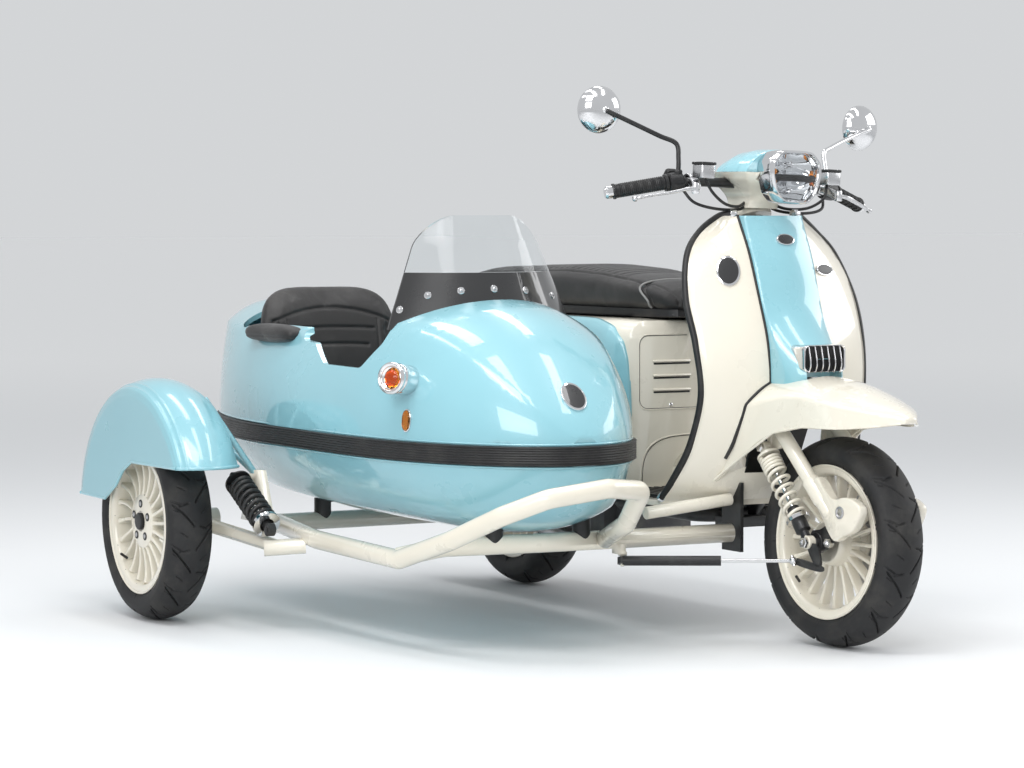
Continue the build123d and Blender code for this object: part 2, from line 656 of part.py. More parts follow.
inner = lean_box(-INNER_HALF, INNER_HALF, -170, 130, -170, 0) + box(1018, 1170, -60, 60, FLOOR_Z + SEAT_GAP, 640)
inner -= lean_box(-200, 200, -600, 300, 0, 300)
inner = (inner & (Pos(-SHIELD_T - SEAT_GAP, 0, 0) * shield_space)) - head_room
inner -= rod((steer_x(700), 0, 700), (DOWN_X, 0, RAIL_Z), FRAME_R + SEAT_GAP)
inner -= box(WELL_X, 1300, -INNER_HALF - 1, INNER_HALF + 1, 200, CROWN_Z + 40)
for side in (-1, 1):
    inner -= lean_box(side * BOX_IN, side * BOX_OUT, BOX_LOW, BOX_TOP, -BOX_DEEP, 1)
    inner += lean_box(side * 92, side * 100, BOX_LOW - 12, BOX_LOW - 2, -1, 9)
door = lean_box(-BOX_OUT - 4, BOX_OUT + 4, BOX_LOW - 4, BOX_TOP + 5, 0.5, 0.5 + DOOR_T)
hinge_line = [inner_plane * Pos(y, 7 - BOX_LOW, 4.5) for y in (-88, 88, -100, 100)]
ends = [tuple(at.position) for at in hinge_line]
door -= lean_box(-105, -88, BOX_LOW - 14, BOX_LOW + 1, -2, 12)
door -= lean_box(88, 105, BOX_LOW - 14, BOX_LOW + 1, -2, 12)
door += rod(ends[0], ends[1], 4)
door -= rod(ends[2], ends[3], 2 + RUN_GAP)
inner += rod(ends[2], ends[3], 2)
parts["inner_panel"] = inner
parts["glovebox_door"] = door

# ---------------------------------------------------------------- scooter: engine and tail
TAIL_X = BODY[-1][0]
engine = box(262, 545, -96, 150, 178, 420) + box(545, 640, -60, 60, 200, 330)
belt_case = box(-60, 480, 86, 168, 170, 320)
engine += fillet(belt_case.edges().filter_by(Axis.Y), 60)
engine += box(-34, 300, -100, -86, 214, 258)
engine += rod((0, -100, REAR_TYRE_R), (0, 100, REAR_TYRE_R), AXLE_R)
parts["engine"] = engine
parts["exhaust"] = (rod((230, -150, 200), (-200, -160, 265), 46)
                    + bent([(600, -40, 212), (560, -150, 158), (220, -150, 190)], 15, 40)
                    + box(-20, 20, -118, -100.3, 215, 262)) - engine
shocks = []
for side, foot_z in ((-1, 318), (1, 300)):
    y = side * 132.0
    shocks.append(rod((-60, y, foot_z), (-40, y, 592), 9) + rod((-58, y, 340), (-43, y, 520), 24)
                  + rod((-60, y - 14, foot_z + 6), (-60, y + 14, foot_z + 6), 13) - frame)
parts["rear_shocks"] = shocks
lamp = box(TAIL_X - 34, TAIL_X - SEAT_GAP, -56, 56, 560, 612)
parts["tail_lamp"] = fillet(lamp.edges().filter_by(Axis.X), 16)
FLAP = ((TAIL_X - SEAT_GAP, 530), (TAIL_X - 60, 470), (-300, 330), (-294, 326), (TAIL_X - 52, 463),
        (TAIL_X - SEAT_GAP, 516))
PLATE_BOLT_Y = 60.0
PLATE_BOLT_Z = (350.0, 455.0)
PLATE_BOLT_R = 3.0
flap = slab(FLAP, -85, 85) + box(-304, -296, -85, 85, 326, 480)
flap -= [Pos(-300, side * PLATE_BOLT_Y, z) * (Rot(0, 90, 0) * Cylinder(PLATE_BOLT_R, 30))
         for side in (-1, 1) for z in PLATE_BOLT_Z]
parts["plate_bracket"] = flap


# ---------------------------------------------------------------- steering: fork
# Side plate at the foot of each fork leg: x, z
FORK_PLATE = ((1391, 371), (1508, 337), (1551, 319), (1553, 289), (1530, 253), (1501, 255), (1478, 239),
              (1445, 252), (1402, 301), (1369, 344))
DAMPER_LUG = ((1380, 212), (1404, 208), (1416, 168), (1402, 160), (1344, 172), (1344, 184))


def front_fork():
    """Stem, crown, two raked legs with their foot plates and the upper shock brackets."""
    fork = rod((steer_x(CROWN_Z - 10), 0, CROWN_Z - 10), (steer_x(NECK_Z + 40), 0, NECK_Z + 40), STEM_R)
    for side in (-1, 1):
        y = side * LEG_Y
        fork += bent([(steer_x(CROWN_Z), 0, CROWN_Z), (LEG_TOP_X, y, LEG_TOP_Z),
                      (LINK_PIVOT_X, y, LINK_PIVOT_Z)], LEG_R, LEG_BEND)
        fork -= box(1360, 1580, side * (LINK_Y - 10), side * (LINK_Y + LINK_T / 2 + 2), 200, 345)
        fork += slab(FORK_PLATE, y - 8, y + 8)
        fork += slab(((LEG_TOP_X + 22, LEG_TOP_Z - 8), (SHOCK_TOP_X - 12, SHOCK_TOP_Z + 12),
                      (SHOCK_TOP_X + 2, SHOCK_TOP_Z - 12), (LEG_TOP_X + 98, 440)),
                     side * 76 - 4, side * 76 + 4)
        fork += rod((SHOCK_TOP_X, side * 74, SHOCK_TOP_Z), (SHOCK_TOP_X, side * (SHOCK_Y + 16), SHOCK_TOP_Z), 6)
        fork += rod((LINK_PIVOT_X, side * (LINK_Y - 10), LINK_PIVOT_Z),
                    (LINK_PIVOT_X, side * (LEG_Y + 14), LINK_PIVOT_Z), 9)
    return fork


def fork_links():
    """Front axle between two links, each on its pin through a fork plate, and the damper's lug."""
    links = rod((WHEELBASE, -SHOCK_Y - 14, FRONT_TYRE_R), (WHEELBASE, SHOCK_Y + 14, FRONT_TYRE_R), AXLE_R)
    half = LINK_T / 2
    for side in (-1, 1):
        y = side * LINK_Y
        pivot = (LINK_PIVOT_X, y, LINK_PIVOT_Z)
        axle = (WHEELBASE, y, FRONT_TYRE_R)
        arm = slab(((WHEELBASE - 20, 240), (WHEELBASE + 8, 208), (1462, 226), (LINK_PIVOT_X + 18, 292),
                    (LINK_PIVOT_X - 6, 322), (1440, 282)), y - half, y + half)
        links += [arm, rod((pivot[0], y - half, pivot[2]), (pivot[0], y + half, pivot[2]), 20),
                  rod((axle[0], y - half, axle[2]), (axle[0], y + half, axle[2]), 24)]
        links -= rod((pivot[0], y - 20, pivot[2]), (pivot[0], y + 20, pivot[2]), 9 + RUN_GAP)
    lug_eye = Vector(*DAMPER_EYE)
    links += slab(DAMPER_LUG, -LINK_Y - half, half - LINK_Y)
    links += rod(tuple(lug_eye - STEER_UP * 22), tuple(lug_eye - STEER_UP * 16), 12)
    links += slab(((1346, 158), (1406, 158), (1406, 170), (1350, 170)), DAMPER_EYE[1], half - LINK_Y)
    return links


def front_shocks():
    """Spring unit from each bracket to the axle's end."""
    units = []
    for side in (-1, 1):
        y = side * SHOCK_Y
        low = Vector(WHEELBASE, y, FRONT_TYRE_R)
        high = Vector(SHOCK_TOP_X, y, SHOCK_TOP_Z)
        up = (high - low).normalized()
        unit = rod(tuple(low), tuple(high), SHOCK_ROD_R)
        unit += rod(tuple(low + up * 60), tuple(high - up * 34), SPRING_R)
        unit += rod((high.X, y - 9, high.Z), (high.X, y + 9, high.Z), SHOCK_EYE_R)
        unit += rod((low.X, y - 10, low.Z), (low.X, y + 10, low.Z), SHOCK_EYE_R + 3)
        units.append(unit)
    return units


fork = front_fork()
links = fork_links()
parts["front_fork"] = fork
parts["fork_links"] = links
parts["front_shocks"] = [unit - fork - links for unit in front_shocks()]
tongue_y = LINK_Y - LINK_T / 2
caliper = box(1262, 1320, DISC_Y - 14, tongue_y + 8, 190, 245) - box(1282, 1340, DISC_Y - 6, DISC_Y + 6, 170, 300)
caliper += box(1300, 1376, tongue_y, tongue_y + 8, 212, 240)
parts["brake_caliper"] = caliper - links

# ---------------------------------------------------------------- steering: headset and controls
BAR_X = 1040.0
BAR_Z = 1010.0
BAR_R = 11.0
GRIP_R = 17.0
GRIP_IN = (1030.0, 236.0, 1005.0)
GRIP_OUT = (982.0, 355.0, 979.0)
MIRROR_R = 53.0
MIRROR_MID = (952.0, 378.0, 1160.0)

lamp_block = box(LAMP_X, LAMP_X + LAMP_LEN, -LAMP_HALF_W, LAMP_HALF_W, LAMP_Z - LAMP_HALF_H, LAMP_Z + LAMP_HALF_H)
lamp_block = fillet(lamp_block.edges().filter_by(Axis.X), LAMP_CORNER)
lamp_face = LAMP_X + LAMP_LEN


def lamp_hollow(gap, front):
    """The space inside the headlamp's rim."""
    half_w = LAMP_HALF_W - LAMP_RIM - gap
    half_h = LAMP_HALF_H - LAMP_RIM - gap
    return box(lamp_face - LAMP_DEEP + gap, front, -half_w, half_w, LAMP_Z - half_h, LAMP_Z + half_h)


def control_side(side):
    """Grip, switch pod, lever, lever mount and fluid tank on one side."""
    inner = (GRIP_IN[0], side * GRIP_IN[1], GRIP_IN[2])
    outer = (GRIP_OUT[0], side * GRIP_OUT[1], GRIP_OUT[2])
    pod = box(1016, 1056, side * 206, side * 242, 988, 1032)
    knuckle = (1052, side * 264, 976)
    lever = rod((1090, side * 204, 992), knuckle, 6) + rod(knuckle, (1035, side * 335, 962), 6)
    lever += rod((1090, side * 204, 978), (1090, side * 204, 1006), 10)
    tank = box(1062, 1104, side * 160, side * 202, 1016, 1052)
    mount = box(1040, 1104, side * 150, side * 200, 1002, 1016)
    return rod(inner, outer, GRIP_R) + pod, lever + tank + mount


def mirror_side(side):
    """Bent stalk and round mirror pod on one side."""
    mid = Vector(MIRROR_MID[0], side * MIRROR_MID[1], MIRROR_MID[2])
    face = Vector(-1, side * -0.12, 0.05).normalized()
    stalk = bent([(1036, side * 216, 1030), (1024, side * 208, 1086), (mid.X + 8, mid.Y, mid.Z)], 5.5, 22)
    low = (Align.CENTER, Align.CENTER, Align.MIN)
    pod = Plane(origin=mid, z_dir=-face) * Cylinder(MIRROR_R, 16)
    pod += Plane(origin=mid - face * 8, z_dir=-face) * Cone(MIRROR_R, MIRROR_R * 0.55, 20, align=low)
    return stalk + pod


bars = bent([(GRIP_OUT[0], GRIP_OUT[1], GRIP_OUT[2]), GRIP_IN, (BAR_X, 150, BAR_Z), (BAR_X, -150, BAR_Z),
             (GRIP_IN[0], -GRIP_IN[1], GRIP_IN[2]), (GRIP_OUT[0], -GRIP_OUT[1], GRIP_OUT[2])], BAR_R, 60)
right_grip, right_lever = control_side(-1)
left_grip, left_lever = control_side(1)
bars += [right_grip, left_grip]
stem_room = rod((steer_x(900), 0, 900), (steer_x(NECK_Z + 40), 0, NECK_Z + 40), STEM_R)
bar_room = rod((BAR_X, -200, BAR_Z), (BAR_X, 200, BAR_Z), BAR_R)
parts["headset"] = loft([level_section(*row) for row in NECK]) - stem_room - lamp_block - bar_room
parts["headset_cover"] = loft([level_section(*row) for row in CREST]) - lamp_block
parts["headlamp"] = lamp_block - lamp_hollow(0, lamp_face + 5)
parts["headlamp_lens"] = lamp_hollow(SEAT_GAP, lamp_face - 3)
parts["handlebar"] = bars - parts["headset"]
parts["levers"] = [right_lever - bars, left_lever - bars]
parts["mirrors"] = [mirror_side(side) - bars for side in (-1, 1)]

# ---------------------------------------------------------------- sidecar body
cowl_outer = loft([car_section(*row) for row in COWL])
cowl_inner = loft([car_section(*row, CAR_T) for row in ends_in(COWL, CAR_T)])
hull_outer = loft([car_section(*row) for row in HULL])
hull_inner = loft([car_section(*row, CAR_T) for row in ends_in(HULL, CAR_T)])
mouth = box(MOUTH_X0, MOUTH_X1, CAR_Y - MOUTH_HALF, CAR_Y + MOUTH_HALF, WAIST_Z + 60, 900)
mouth = fillet(mouth.edges().filter_by(Axis.Z), 90)
DIP_TURN = 28.0
DIP = ((440, 900), (440, 655), (520, 650), (610, 606), (790, 604), (846, 660), (890, 900))
dip = slab(DIP, CAR_Y - CAR_HALF - 20, CAR_Y + CAR_HALF + 20)
dip = fillet(dip.edges().filter_by(Axis.Y), DIP_TURN)
parts["sidecar_cowl"] = cowl_outer - cowl_inner - mouth - dip
parts["sidecar_hull"] = hull_outer - hull_inner
BAND_X = (-326, -312, -290, -250, -190, -100, 0, 150, 350, 650, 800, 900, 1000, 1080, 1150, 1210, 1255, 1285,
          1300, 1307)
band_left = [(x, CAR_Y + plan_half(x) + BAND_OUT, BAND_Z) for x in BAND_X]
band_left.append((BAND_X[-1] + BAND_OUT, CAR_Y + plan_half(BAND_X[-1]), BAND_Z))
band_left.insert(0, (BAND_X[0] - BAND_OUT, CAR_Y + plan_half(BAND_X[0]), BAND_Z))
band_right = [(x, 2 * CAR_Y - y, z) for x, y, z in reversed(band_left)]
band = extrude(Face(Wire(Polyline(*band_left, *band_right, close=True).edges())), amount=BAND_H, dir=(0, 0, 1))
parts["rub_band"] = band - cowl_outer - hull_outer

screen = loft([screen_section(*row) for row in SCREEN]) - cowl_outer
SCREEN_CORNER = 42.0
low_row, top_row = SCREEN[1], SCREEN[2]
pane = Polyline((700, -low_row[2] - 20, low_row[0]), (700, low_row[2] + 20, low_row[0]),
                (700, top_row[2] + 12, top_row[0]), (700, -top_row[2] - 12, top_row[0]), close=True)
pane = extrude(Face(Wire(pane.edges())), amount=400, dir=(1, 0, 0))
pane = fillet(pane.edges().filter_by(Axis.X).sort_by(Axis.Z)[-2:], SCREEN_CORNER)
parts["windscreen"] = screen & (Pos(0, CAR_Y, 0) * pane)
parts["windscreen_band"] = screen - box(700, 1100, CAR_Y - 300, CAR_Y + 300, SCREEN[1][0], 1000)

seat_base = box(40, 500, CAR_Y - 196, CAR_Y + 196, 200, 430)
parts["sidecar_seat"] = fillet(seat_base.edges().filter_by(Axis.Z), 40) & hull_inner
BACKREST = ((30, 430.3), (84, 430.3), (122, 560), (122, 730), (96, 778), (56, 778), (30, 730), (-4, 560))
back_shape = fillet(box(-100, 200, CAR_Y - 190, CAR_Y + 190, 300, 779).edges().filter_by(Axis.X), 100)
parts["sidecar_backrest"] = slab(BACKREST, CAR_Y - 195, CAR_Y + 195) & back_shape
armrest = fillet(box(160, 410, CAR_Y - 268, CAR_Y - 216, 640, 684).edges().filter_by(Axis.Z), 20) - cowl_outer
parts["armrests"] = [armrest, mirrored(armrest, CAR_Y)]

# ---------------------------------------------------------------- sidecar chassis
bumper = bent([(430, -905, 232), (640, -905, 212), (1000, -885, 200), (1187, -860, 256), (1331, -815, 318),
               (1400, -745, 356), (1400, -600, 372), (1356, -490, 360), (1260, -470, 280),
               (1140, -452, CAR_LOW_Z)], TUBE_R, 34)
cross = bent([(JOINT_X + 16, JOINT_Y, JOINT_LOW_Z), (1116, CAR_Y, CAR_LOW_Z - 4), (1040, -800, 226),
              (985, -880, 204)], TUBE_R, 80)
rear_cross = rod((330, -96.3, 224), (330, -900, 222), TUBE_R) + rod((330, -884, 222), (440, -905, 230), TUBE_R)
parts["bumper_tube"] = bumper
parts["sidecar_struts"] = [rod((1146, -350, 288), (1136, JOINT_Y, JOINT_HIGH_Z - 4), 14) - parts["leg_shield"],
                           rod((REAR_JOINT_X, -158, 350), (330, -340, 240), 14) - rear_cross - frame]
PIVOT = (560.0, -960.0, 190.0)
arm = rod((PIVOT[0], -1000, PIVOT[2]), (PIVOT[0] + 40, -915, 196), 18)
arm += rod(PIVOT, (SIDE_LEAD, -1030, FRONT_TYRE_R), 16)
arm += rod((SIDE_LEAD, -1046, FRONT_TYRE_R), (SIDE_LEAD, -960, FRONT_TYRE_R), 24)
arm += rod((SIDE_LEAD, -SIDE_TRACK - HUB_W / 2, FRONT_TYRE_R), (SIDE_LEAD, -1000, FRONT_TYRE_R), AXLE_R)
parts["sidecar_arm"] = arm - bumper
side_shock = rod((561, -985, 232), (372, -985, 336), 9) + rod((540, -985, 244), (392, -985, 325), 27)
tower = slab(((300, 232), (440, 232), (392, 352), (352, 352)), -938, -915)
tower += rod((372, -995, 336), (372, -926, 336), 8)
parts["sidecar_shock"] = side_shock - arm - tower
rear_cross += tower

SIDE_GUARD_R = 302.0
SIDE_GUARD_CROWN_R = 333.0
SIDE_GUARD_T = 5.0
SIDE_GUARD_Y = 80.0          # half width
crown_mid = ThreePointArc((SIDE_GUARD_R, -SIDE_GUARD_Y), (SIDE_GUARD_CROWN_R, 0), (SIDE_GUARD_R, SIDE_GUARD_Y))
crown_in = ThreePointArc((SIDE_GUARD_R - SIDE_GUARD_T, SIDE_GUARD_Y - SIDE_GUARD_T),
                         (SIDE_GUARD_CROWN_R - SIDE_GUARD_T, 0),
                         (SIDE_GUARD_R - SIDE_GUARD_T, SIDE_GUARD_T - SIDE_GUARD_Y))
guard_at = (SIDE_LEAD, 9 - SIDE_TRACK, FRONT_TYRE_R)
side_guard = turned([crown_mid, Line(crown_mid @ 1, crown_in @ 0), crown_in, Line(crown_in @ 1, crown_mid @ 0)],
                    guard_at)
side_guard += ring(120, SIDE_GUARD_R - 1, -SIDE_GUARD_Y, SIDE_GUARD_T - SIDE_GUARD_Y, guard_at)
GUARD_KEEP = ((-200, 276), (60, 273), (128, 309), (173, 348), (221, 370), (600, 372), (600, 700), (-200, 700))
side_guard = side_guard & slab(GUARD_KEEP, -1250, -950)
side_guard += [rod((370, -930, 338), (300, -1028, 515), 8), rod((360, -930, 344), (120, -1028, 514), 8)]
parts["sidecar_mudguard"] = side_guard - tower
lamp_dir = Vector(0.45, -0.86, 0.12).normalized()
pod = Plane(origin=Vector(1000, -886, 590) - lamp_dir * 60, z_dir=lamp_dir) * Cylinder(
    34, 92, align=(Align.CENTER, Align.CENTER, Align.MIN))
parts["sidecar_lamps"] = pod - cowl_outer

# ---------------------------------------------------------------- steering damper
foot = Vector(*DAMPER_FOOT)
eye = steered_point(DAMPER_EYE)
run = (eye - foot).normalized()
pin = (STEER_UP - run * STEER_UP.dot(run)).normalized() * 12
tube = rod(tuple(foot), tuple(foot + run * DAMPER_LEN), DAMPER_R) + rod(tuple(foot - pin * 0.6),
                                                                        tuple(foot + pin * 0.6), DAMPER_R)
tube -= rod(tuple(foot - pin * 2), tuple(foot + pin * 2), DAMPER_PIN_R + RUN_GAP)
tube -= rod(tuple(foot + run * 30), tuple(foot + run * 300), DAMPER_ROD_R + RUN_GAP)
parts["damper_tube"] = tube
ram = rod(tuple(foot + run * 60), tuple(eye), DAMPER_ROD_R) + Pos(*eye) * Sphere(9)
parts["damper_rod"] = ram + rod(tuple(eye - STEER_UP * 12), tuple(eye + STEER_UP * 12), DAMPER_PIN_R)
hanger = rod(tuple(foot - pin), tuple(foot + pin * 1.6), DAMPER_PIN_R)
hanger += rod(tuple(foot + pin * 1.05), tuple(foot + pin * 1.6), 10)
hanger += box(1128, 1160, -426, -410, 202, 224)
parts["cross_tube"] = cross + hanger - bumper
parts["rear_cross_tube"] = rear_cross - bumper
# Rubber mounts between the cross tubes and the hull: x, y, z of the tube
MOUNTS = ((330, -740, 222), (330, -460, 223), (1080, -695, 230), (1121, -500, 234))
parts["rubber_mounts"] = [rod((x, y, z), (x, y, 300), 20) - hull_outer - parts["cross_tube"] - rear_cross
                          for x, y, z in MOUNTS]

STEERED = ("front_fork", "fork_links", "front_shocks", "brake_caliper", "headset", "headset_cover", "headlamp",
           "headlamp_lens", "handlebar", "levers", "mirrors")
for name in STEERED:
    parts[name] = steered(parts[name])
parts.update(wheels())

solids = {name: Compound(children=piece) if isinstance(piece, list) else piece for name, piece in parts.items()}
boxes = [piece.bounding_box() for piece in solids.values()]
shift = Vector((min(b.min.X for b in boxes) + max(b.max.X for b in boxes)) / -2,
               (min(b.min.Y for b in boxes) + max(b.max.Y for b in boxes)) / -2,
               -min(b.min.Z for b in boxes))
print("origin moved by", shift)
for name, piece in solids.items():
    piece = Pos(*shift) * piece
    print(name, len(piece.solids()), round(piece.volume / 1000), piece.is_valid)
    export_step(piece, f"parts/{name}.step")
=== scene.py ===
# %% [markdown]
# # A scooter with a sidecar
# The solids of this machine were drawn in a CAD program and packed as a fixed frame. This
# notebook dresses them: it gives every solid a finish, and it adds what a solid model leaves
# out, such as tread, springs, stitched covers, trim and lamps. Each piece is worked out with
# numpy as a grid of points, because a grid keeps long highlights on paint smooth.

# %% Load the frame
import json
import math

import bmesh
import bpy
import numpy as np
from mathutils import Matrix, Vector


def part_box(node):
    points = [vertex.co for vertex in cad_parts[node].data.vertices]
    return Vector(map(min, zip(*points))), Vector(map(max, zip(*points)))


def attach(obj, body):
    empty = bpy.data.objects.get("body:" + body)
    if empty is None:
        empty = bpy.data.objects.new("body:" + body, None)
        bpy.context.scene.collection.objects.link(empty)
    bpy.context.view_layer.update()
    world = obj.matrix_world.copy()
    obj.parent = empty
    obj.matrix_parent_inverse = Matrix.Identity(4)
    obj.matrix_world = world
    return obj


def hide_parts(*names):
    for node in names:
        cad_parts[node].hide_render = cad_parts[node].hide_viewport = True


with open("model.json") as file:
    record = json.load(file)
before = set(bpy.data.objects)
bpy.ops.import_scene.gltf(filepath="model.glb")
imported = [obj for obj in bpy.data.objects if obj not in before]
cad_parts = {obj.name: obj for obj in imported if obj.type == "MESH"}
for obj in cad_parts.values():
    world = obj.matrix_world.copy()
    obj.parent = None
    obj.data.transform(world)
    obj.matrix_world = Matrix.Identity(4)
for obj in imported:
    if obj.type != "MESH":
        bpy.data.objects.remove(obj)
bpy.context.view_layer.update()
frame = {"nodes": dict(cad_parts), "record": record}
nodes = frame["nodes"]

# %% [markdown]
# ## Places
# The machine was drawn in millimetres from the floor under its rear axle. The frame's origin is
# elsewhere, so the rear rim tells where that point is now. Everything on the fork was drawn
# straight ahead and then turned a little to the left about the leaning steering axis, so the same
# turn is needed here.

# %% Millimetres from the rear axle to metres in the frame
rim_low, rim_high = (np.array(corner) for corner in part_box("rear_rim"))
REAR_AXLE = (rim_low + rim_high) / 2
START = np.array([REAR_AXLE[0], REAR_AXLE[1], 0.0])
LEAN = math.radians(25.0)
LEAN_SLOPE = 0.4663  # tangent of the lean
REST_TURN = math.radians(5.5)
STEER_FOOT = np.array([1465.0, 0.0, 0.0])
STEER_UP = np.array([-math.sin(LEAN), 0.0, math.cos(LEAN)])
AHEAD, LEFT, UP, RIGHT = (1, 0, 0), (0, 1, 0), (0, 0, 1), (0, -1, 0)
SIDES = (-1, 1)  # right and left, as the sign of y
# The wheels' middles: the height is also the tyre's radius
FRONT_HUB, REAR_HUB, CAR_HUB = (1390.0, 0.0, 229.4), (0.0, 0.0, 236.4), (211.0, -1114.0, 229.4)
CAR_Y = -600.0


def at(points):
    """Frame position in metres of points given in millimetres from the rear axle's foot."""
    return START + np.asarray(points, float) / 1000


def steering_axis_at(height):
    """The point of the leaning steering axis at a height."""
    return (STEER_FOOT[0] - LEAN_SLOPE * height, 0, height)


def steered(points):
    """The same points after the fork's resting turn: Rodrigues' formula about the steering axis,
    v cos t + (k x v) sin t + k (k . v)(1 - cos t)."""
    arm = np.asarray(points, float) - STEER_FOOT
    along = (arm @ STEER_UP)[..., None] * STEER_UP
    turned_arm = arm * math.cos(REST_TURN) + np.cross(STEER_UP, arm) * math.sin(REST_TURN)
    return STEER_FOOT + turned_arm + along * (1 - math.cos(REST_TURN))


print("rear axle at", REAR_AXLE.round(4))

# %% [markdown]
# ## Camera
# The camera stands low at the right front, far away, with a long lens, so that the wheels stay
# nearly round and the body keeps its proportions.

# %% Camera
CAMERA_SPOT = (7199.8, -4095.8, 958.5)
FOCAL_LENGTH, AZIMUTH, PITCH = 114.27, 60.62, 3.11  # mm, and degrees from the left and downwards
lens = bpy.data.cameras.new("camera")
lens.lens = FOCAL_LENGTH
lens.sensor_width = 36.0
camera = bpy.data.objects.new("camera", lens)
bpy.context.scene.collection.objects.link(camera)
camera.location = at(CAMERA_SPOT)
azimuth, pitch = math.radians(AZIMUTH), math.radians(PITCH)
aim = Vector((-math.sin(azimuth) * math.cos(pitch), math.cos(azimuth) * math.cos(pitch), -math.sin(pitch)))
camera.rotation_euler = aim.to_track_quat("-Z", "Y").to_euler()
bpy.context.scene.camera = camera
print("camera at", [round(v, 3) for v in camera.location])

# %% [markdown]
# ## A workshop for finishes
# A finish is a small network of shader nodes. Written as Python expressions it stays readable:
# a `Wire` wraps one socket, and adding or multiplying two wires adds the node that does it.
# Values use Math nodes. Colours blend through Mix nodes, because a Math node would turn them grey.

# %% A wire


class Wire:
    """One output socket. Python's operators on it add Math nodes."""

    def __init__(self, finish, socket):
        self.finish = finish
        self.socket = socket

    def calc(self, operation, *others):
        values = {i: other for i, other in enumerate((self, *others))}
        return self.finish.node("ShaderNodeMath", {"operation": operation}, values)

    def __add__(self, other):
        return self.calc("ADD", other)

    def __mul__(self, other):
        return self.calc("MULTIPLY", other)

    def __rsub__(self, other):
        return self.finish.node("ShaderNodeMath", {"operation": "SUBTRACT"}, {0: other, 1: self})

    def between(self, low, high):
        """A smooth step from 0 at low to 1 at high."""
        return self.finish.node(
            "ShaderNodeMapRange", {"interpolation_type": "SMOOTHSTEP"},
            {"Value": self, "From Min": low, "From Max": high})

    def blend(self, first, second):
        """The colour first where this value is 0, and second where it is 1."""
        return self.finish.node("ShaderNodeMix", {"data_type": "RGBA"}, {0: self, 6: first, 7: second}, 2)


print("a wire can:", [name for name in vars(Wire) if not name.startswith("_")])

# %% A finish


class Finish:
    """A material with one Principled shader, and a method that adds any other node."""

    def __init__(self, name, colour, roughness, **fixed):
        self.material = bpy.data.materials.new(name)
        self.material.use_nodes = True
        self.tree = self.material.node_tree
        self.tree.nodes.clear()
        self.shader = self.tree.nodes.new("ShaderNodeBsdfPrincipled")
        out = self.tree.nodes.new("ShaderNodeOutputMaterial")
        self.tree.links.new(self.shader.outputs[0], out.inputs[0])
        self.material.diffuse_color = (*colour, 1)
        self.where = self.node("ShaderNodeTexCoord", {}, {}, 3)
        self.put("Base Color", (*colour, 1))
        self.put("Roughness", roughness)
        for name, value in fixed.items():
            self.put(name.replace("_", " "), value)

    def put(self, name, value):
        """Sets or links one socket of the shader."""
        socket = self.shader.inputs[name]
        if isinstance(value, Wire):
            self.tree.links.new(value.socket, socket)
        else:
            socket.default_value = value

    def node(self, kind, settings, values, output=0):
        """Adds a node: its settings first, then the values or wires of its sockets."""
        made = self.tree.nodes.new(kind)
        for key, value in settings.items():
            setattr(made, key, value)
        for key, value in values.items():
            if isinstance(value, Wire):
                self.tree.links.new(value.socket, made.inputs[key])
            else:
                made.inputs[key].default_value = value
        return Wire(self, made.outputs[output])

    def noise(self, scale, detail=3.0, rough=0.5):
        return self.node(
            "ShaderNodeTexNoise", {},
            {"Vector": self.where, "Scale": scale, "Detail": detail, "Roughness": rough})

    def cells(self, scale):
        return self.node(
            "ShaderNodeTexVoronoi", {"feature": "DISTANCE_TO_EDGE"}, {"Vector": self.where, "Scale": scale})

    def bump(self, height, strength, distance):
        self.put(
            "Normal",
            self.node("ShaderNodeBump", {}, {"Height": height, "Strength": strength, "Distance": distance}))

    def shades(self, first, second, scale):
        """Base colour that drifts between two close shades."""
        drift = self.noise(scale).between(0.3, 0.7)
        self.put("Base Color", drift.blend((*first, 1), (*second, 1)))


print("a finish can:", [name for name in vars(Finish) if not name.startswith("_")])

# %% [markdown]
# ## Paint, plating, rubber and hide
# Car paint is colour under clear lacquer: a coloured layer of middling roughness with a glossy
# coat. A faint waviness in the coat, called orange peel, breaks up reflections. Chrome is bare
# metal with fingerprints. Rubber and vinyl are dark and get their look from fine relief.

# %% Kinds of finish


def lacquer(name, colour, deep):
    """Glossy paint: close shades, orange peel, and dust that dulls the coat here and there."""
    made = Finish(name, colour, 0.32, Coat_Weight=1.0, Coat_Roughness=0.035, Coat_IOR=1.52)
    made.shades(colour, deep, 2.2)
    dust = made.noise(5.0, 5.0, 0.6).between(0.35, 0.75)
    made.put("Roughness", dust * 0.06 + 0.27)
    peel = made.noise(420.0, 1.0) + made.noise(110.0, 1.0) * 0.25
    made.bump(peel, 0.03, 0.0004)
    return made.material


def plated(name, colour, low, high, metallic=1.0):
    """Bare or plated metal: smudges move the roughness between two values."""
    made = Finish(name, colour, low, Metallic=metallic)
    smudge = made.noise(42.0, 6.0, 0.65).between(0.35, 0.7)
    made.put("Roughness", smudge * (high - low) + low)
    made.shades(colour, tuple(0.9 * c for c in colour), 9.0)
    made.bump(made.noise(500.0, 2.0), 0.02, 0.0004)
    return made.material


def brushed(name, colour, roughness):
    """Metal with long fine scratches: noise that is stretched along one way."""
    made = Finish(name, colour, roughness, Metallic=1.0)
    stretched = made.node("ShaderNodeMapping", {}, {"Vector": made.where, "Scale": (20.0, 20.0, 700.0)})
    lines = made.node("ShaderNodeTexNoise", {}, {"Vector": stretched, "Scale": 3.0, "Detail": 4.0})
    made.put("Roughness", lines * 0.25 + (roughness - 0.1))
    made.shades(colour, tuple(0.82 * c for c in colour), 14.0)
    made.bump(lines, 0.08, 0.0004)
    return made.material


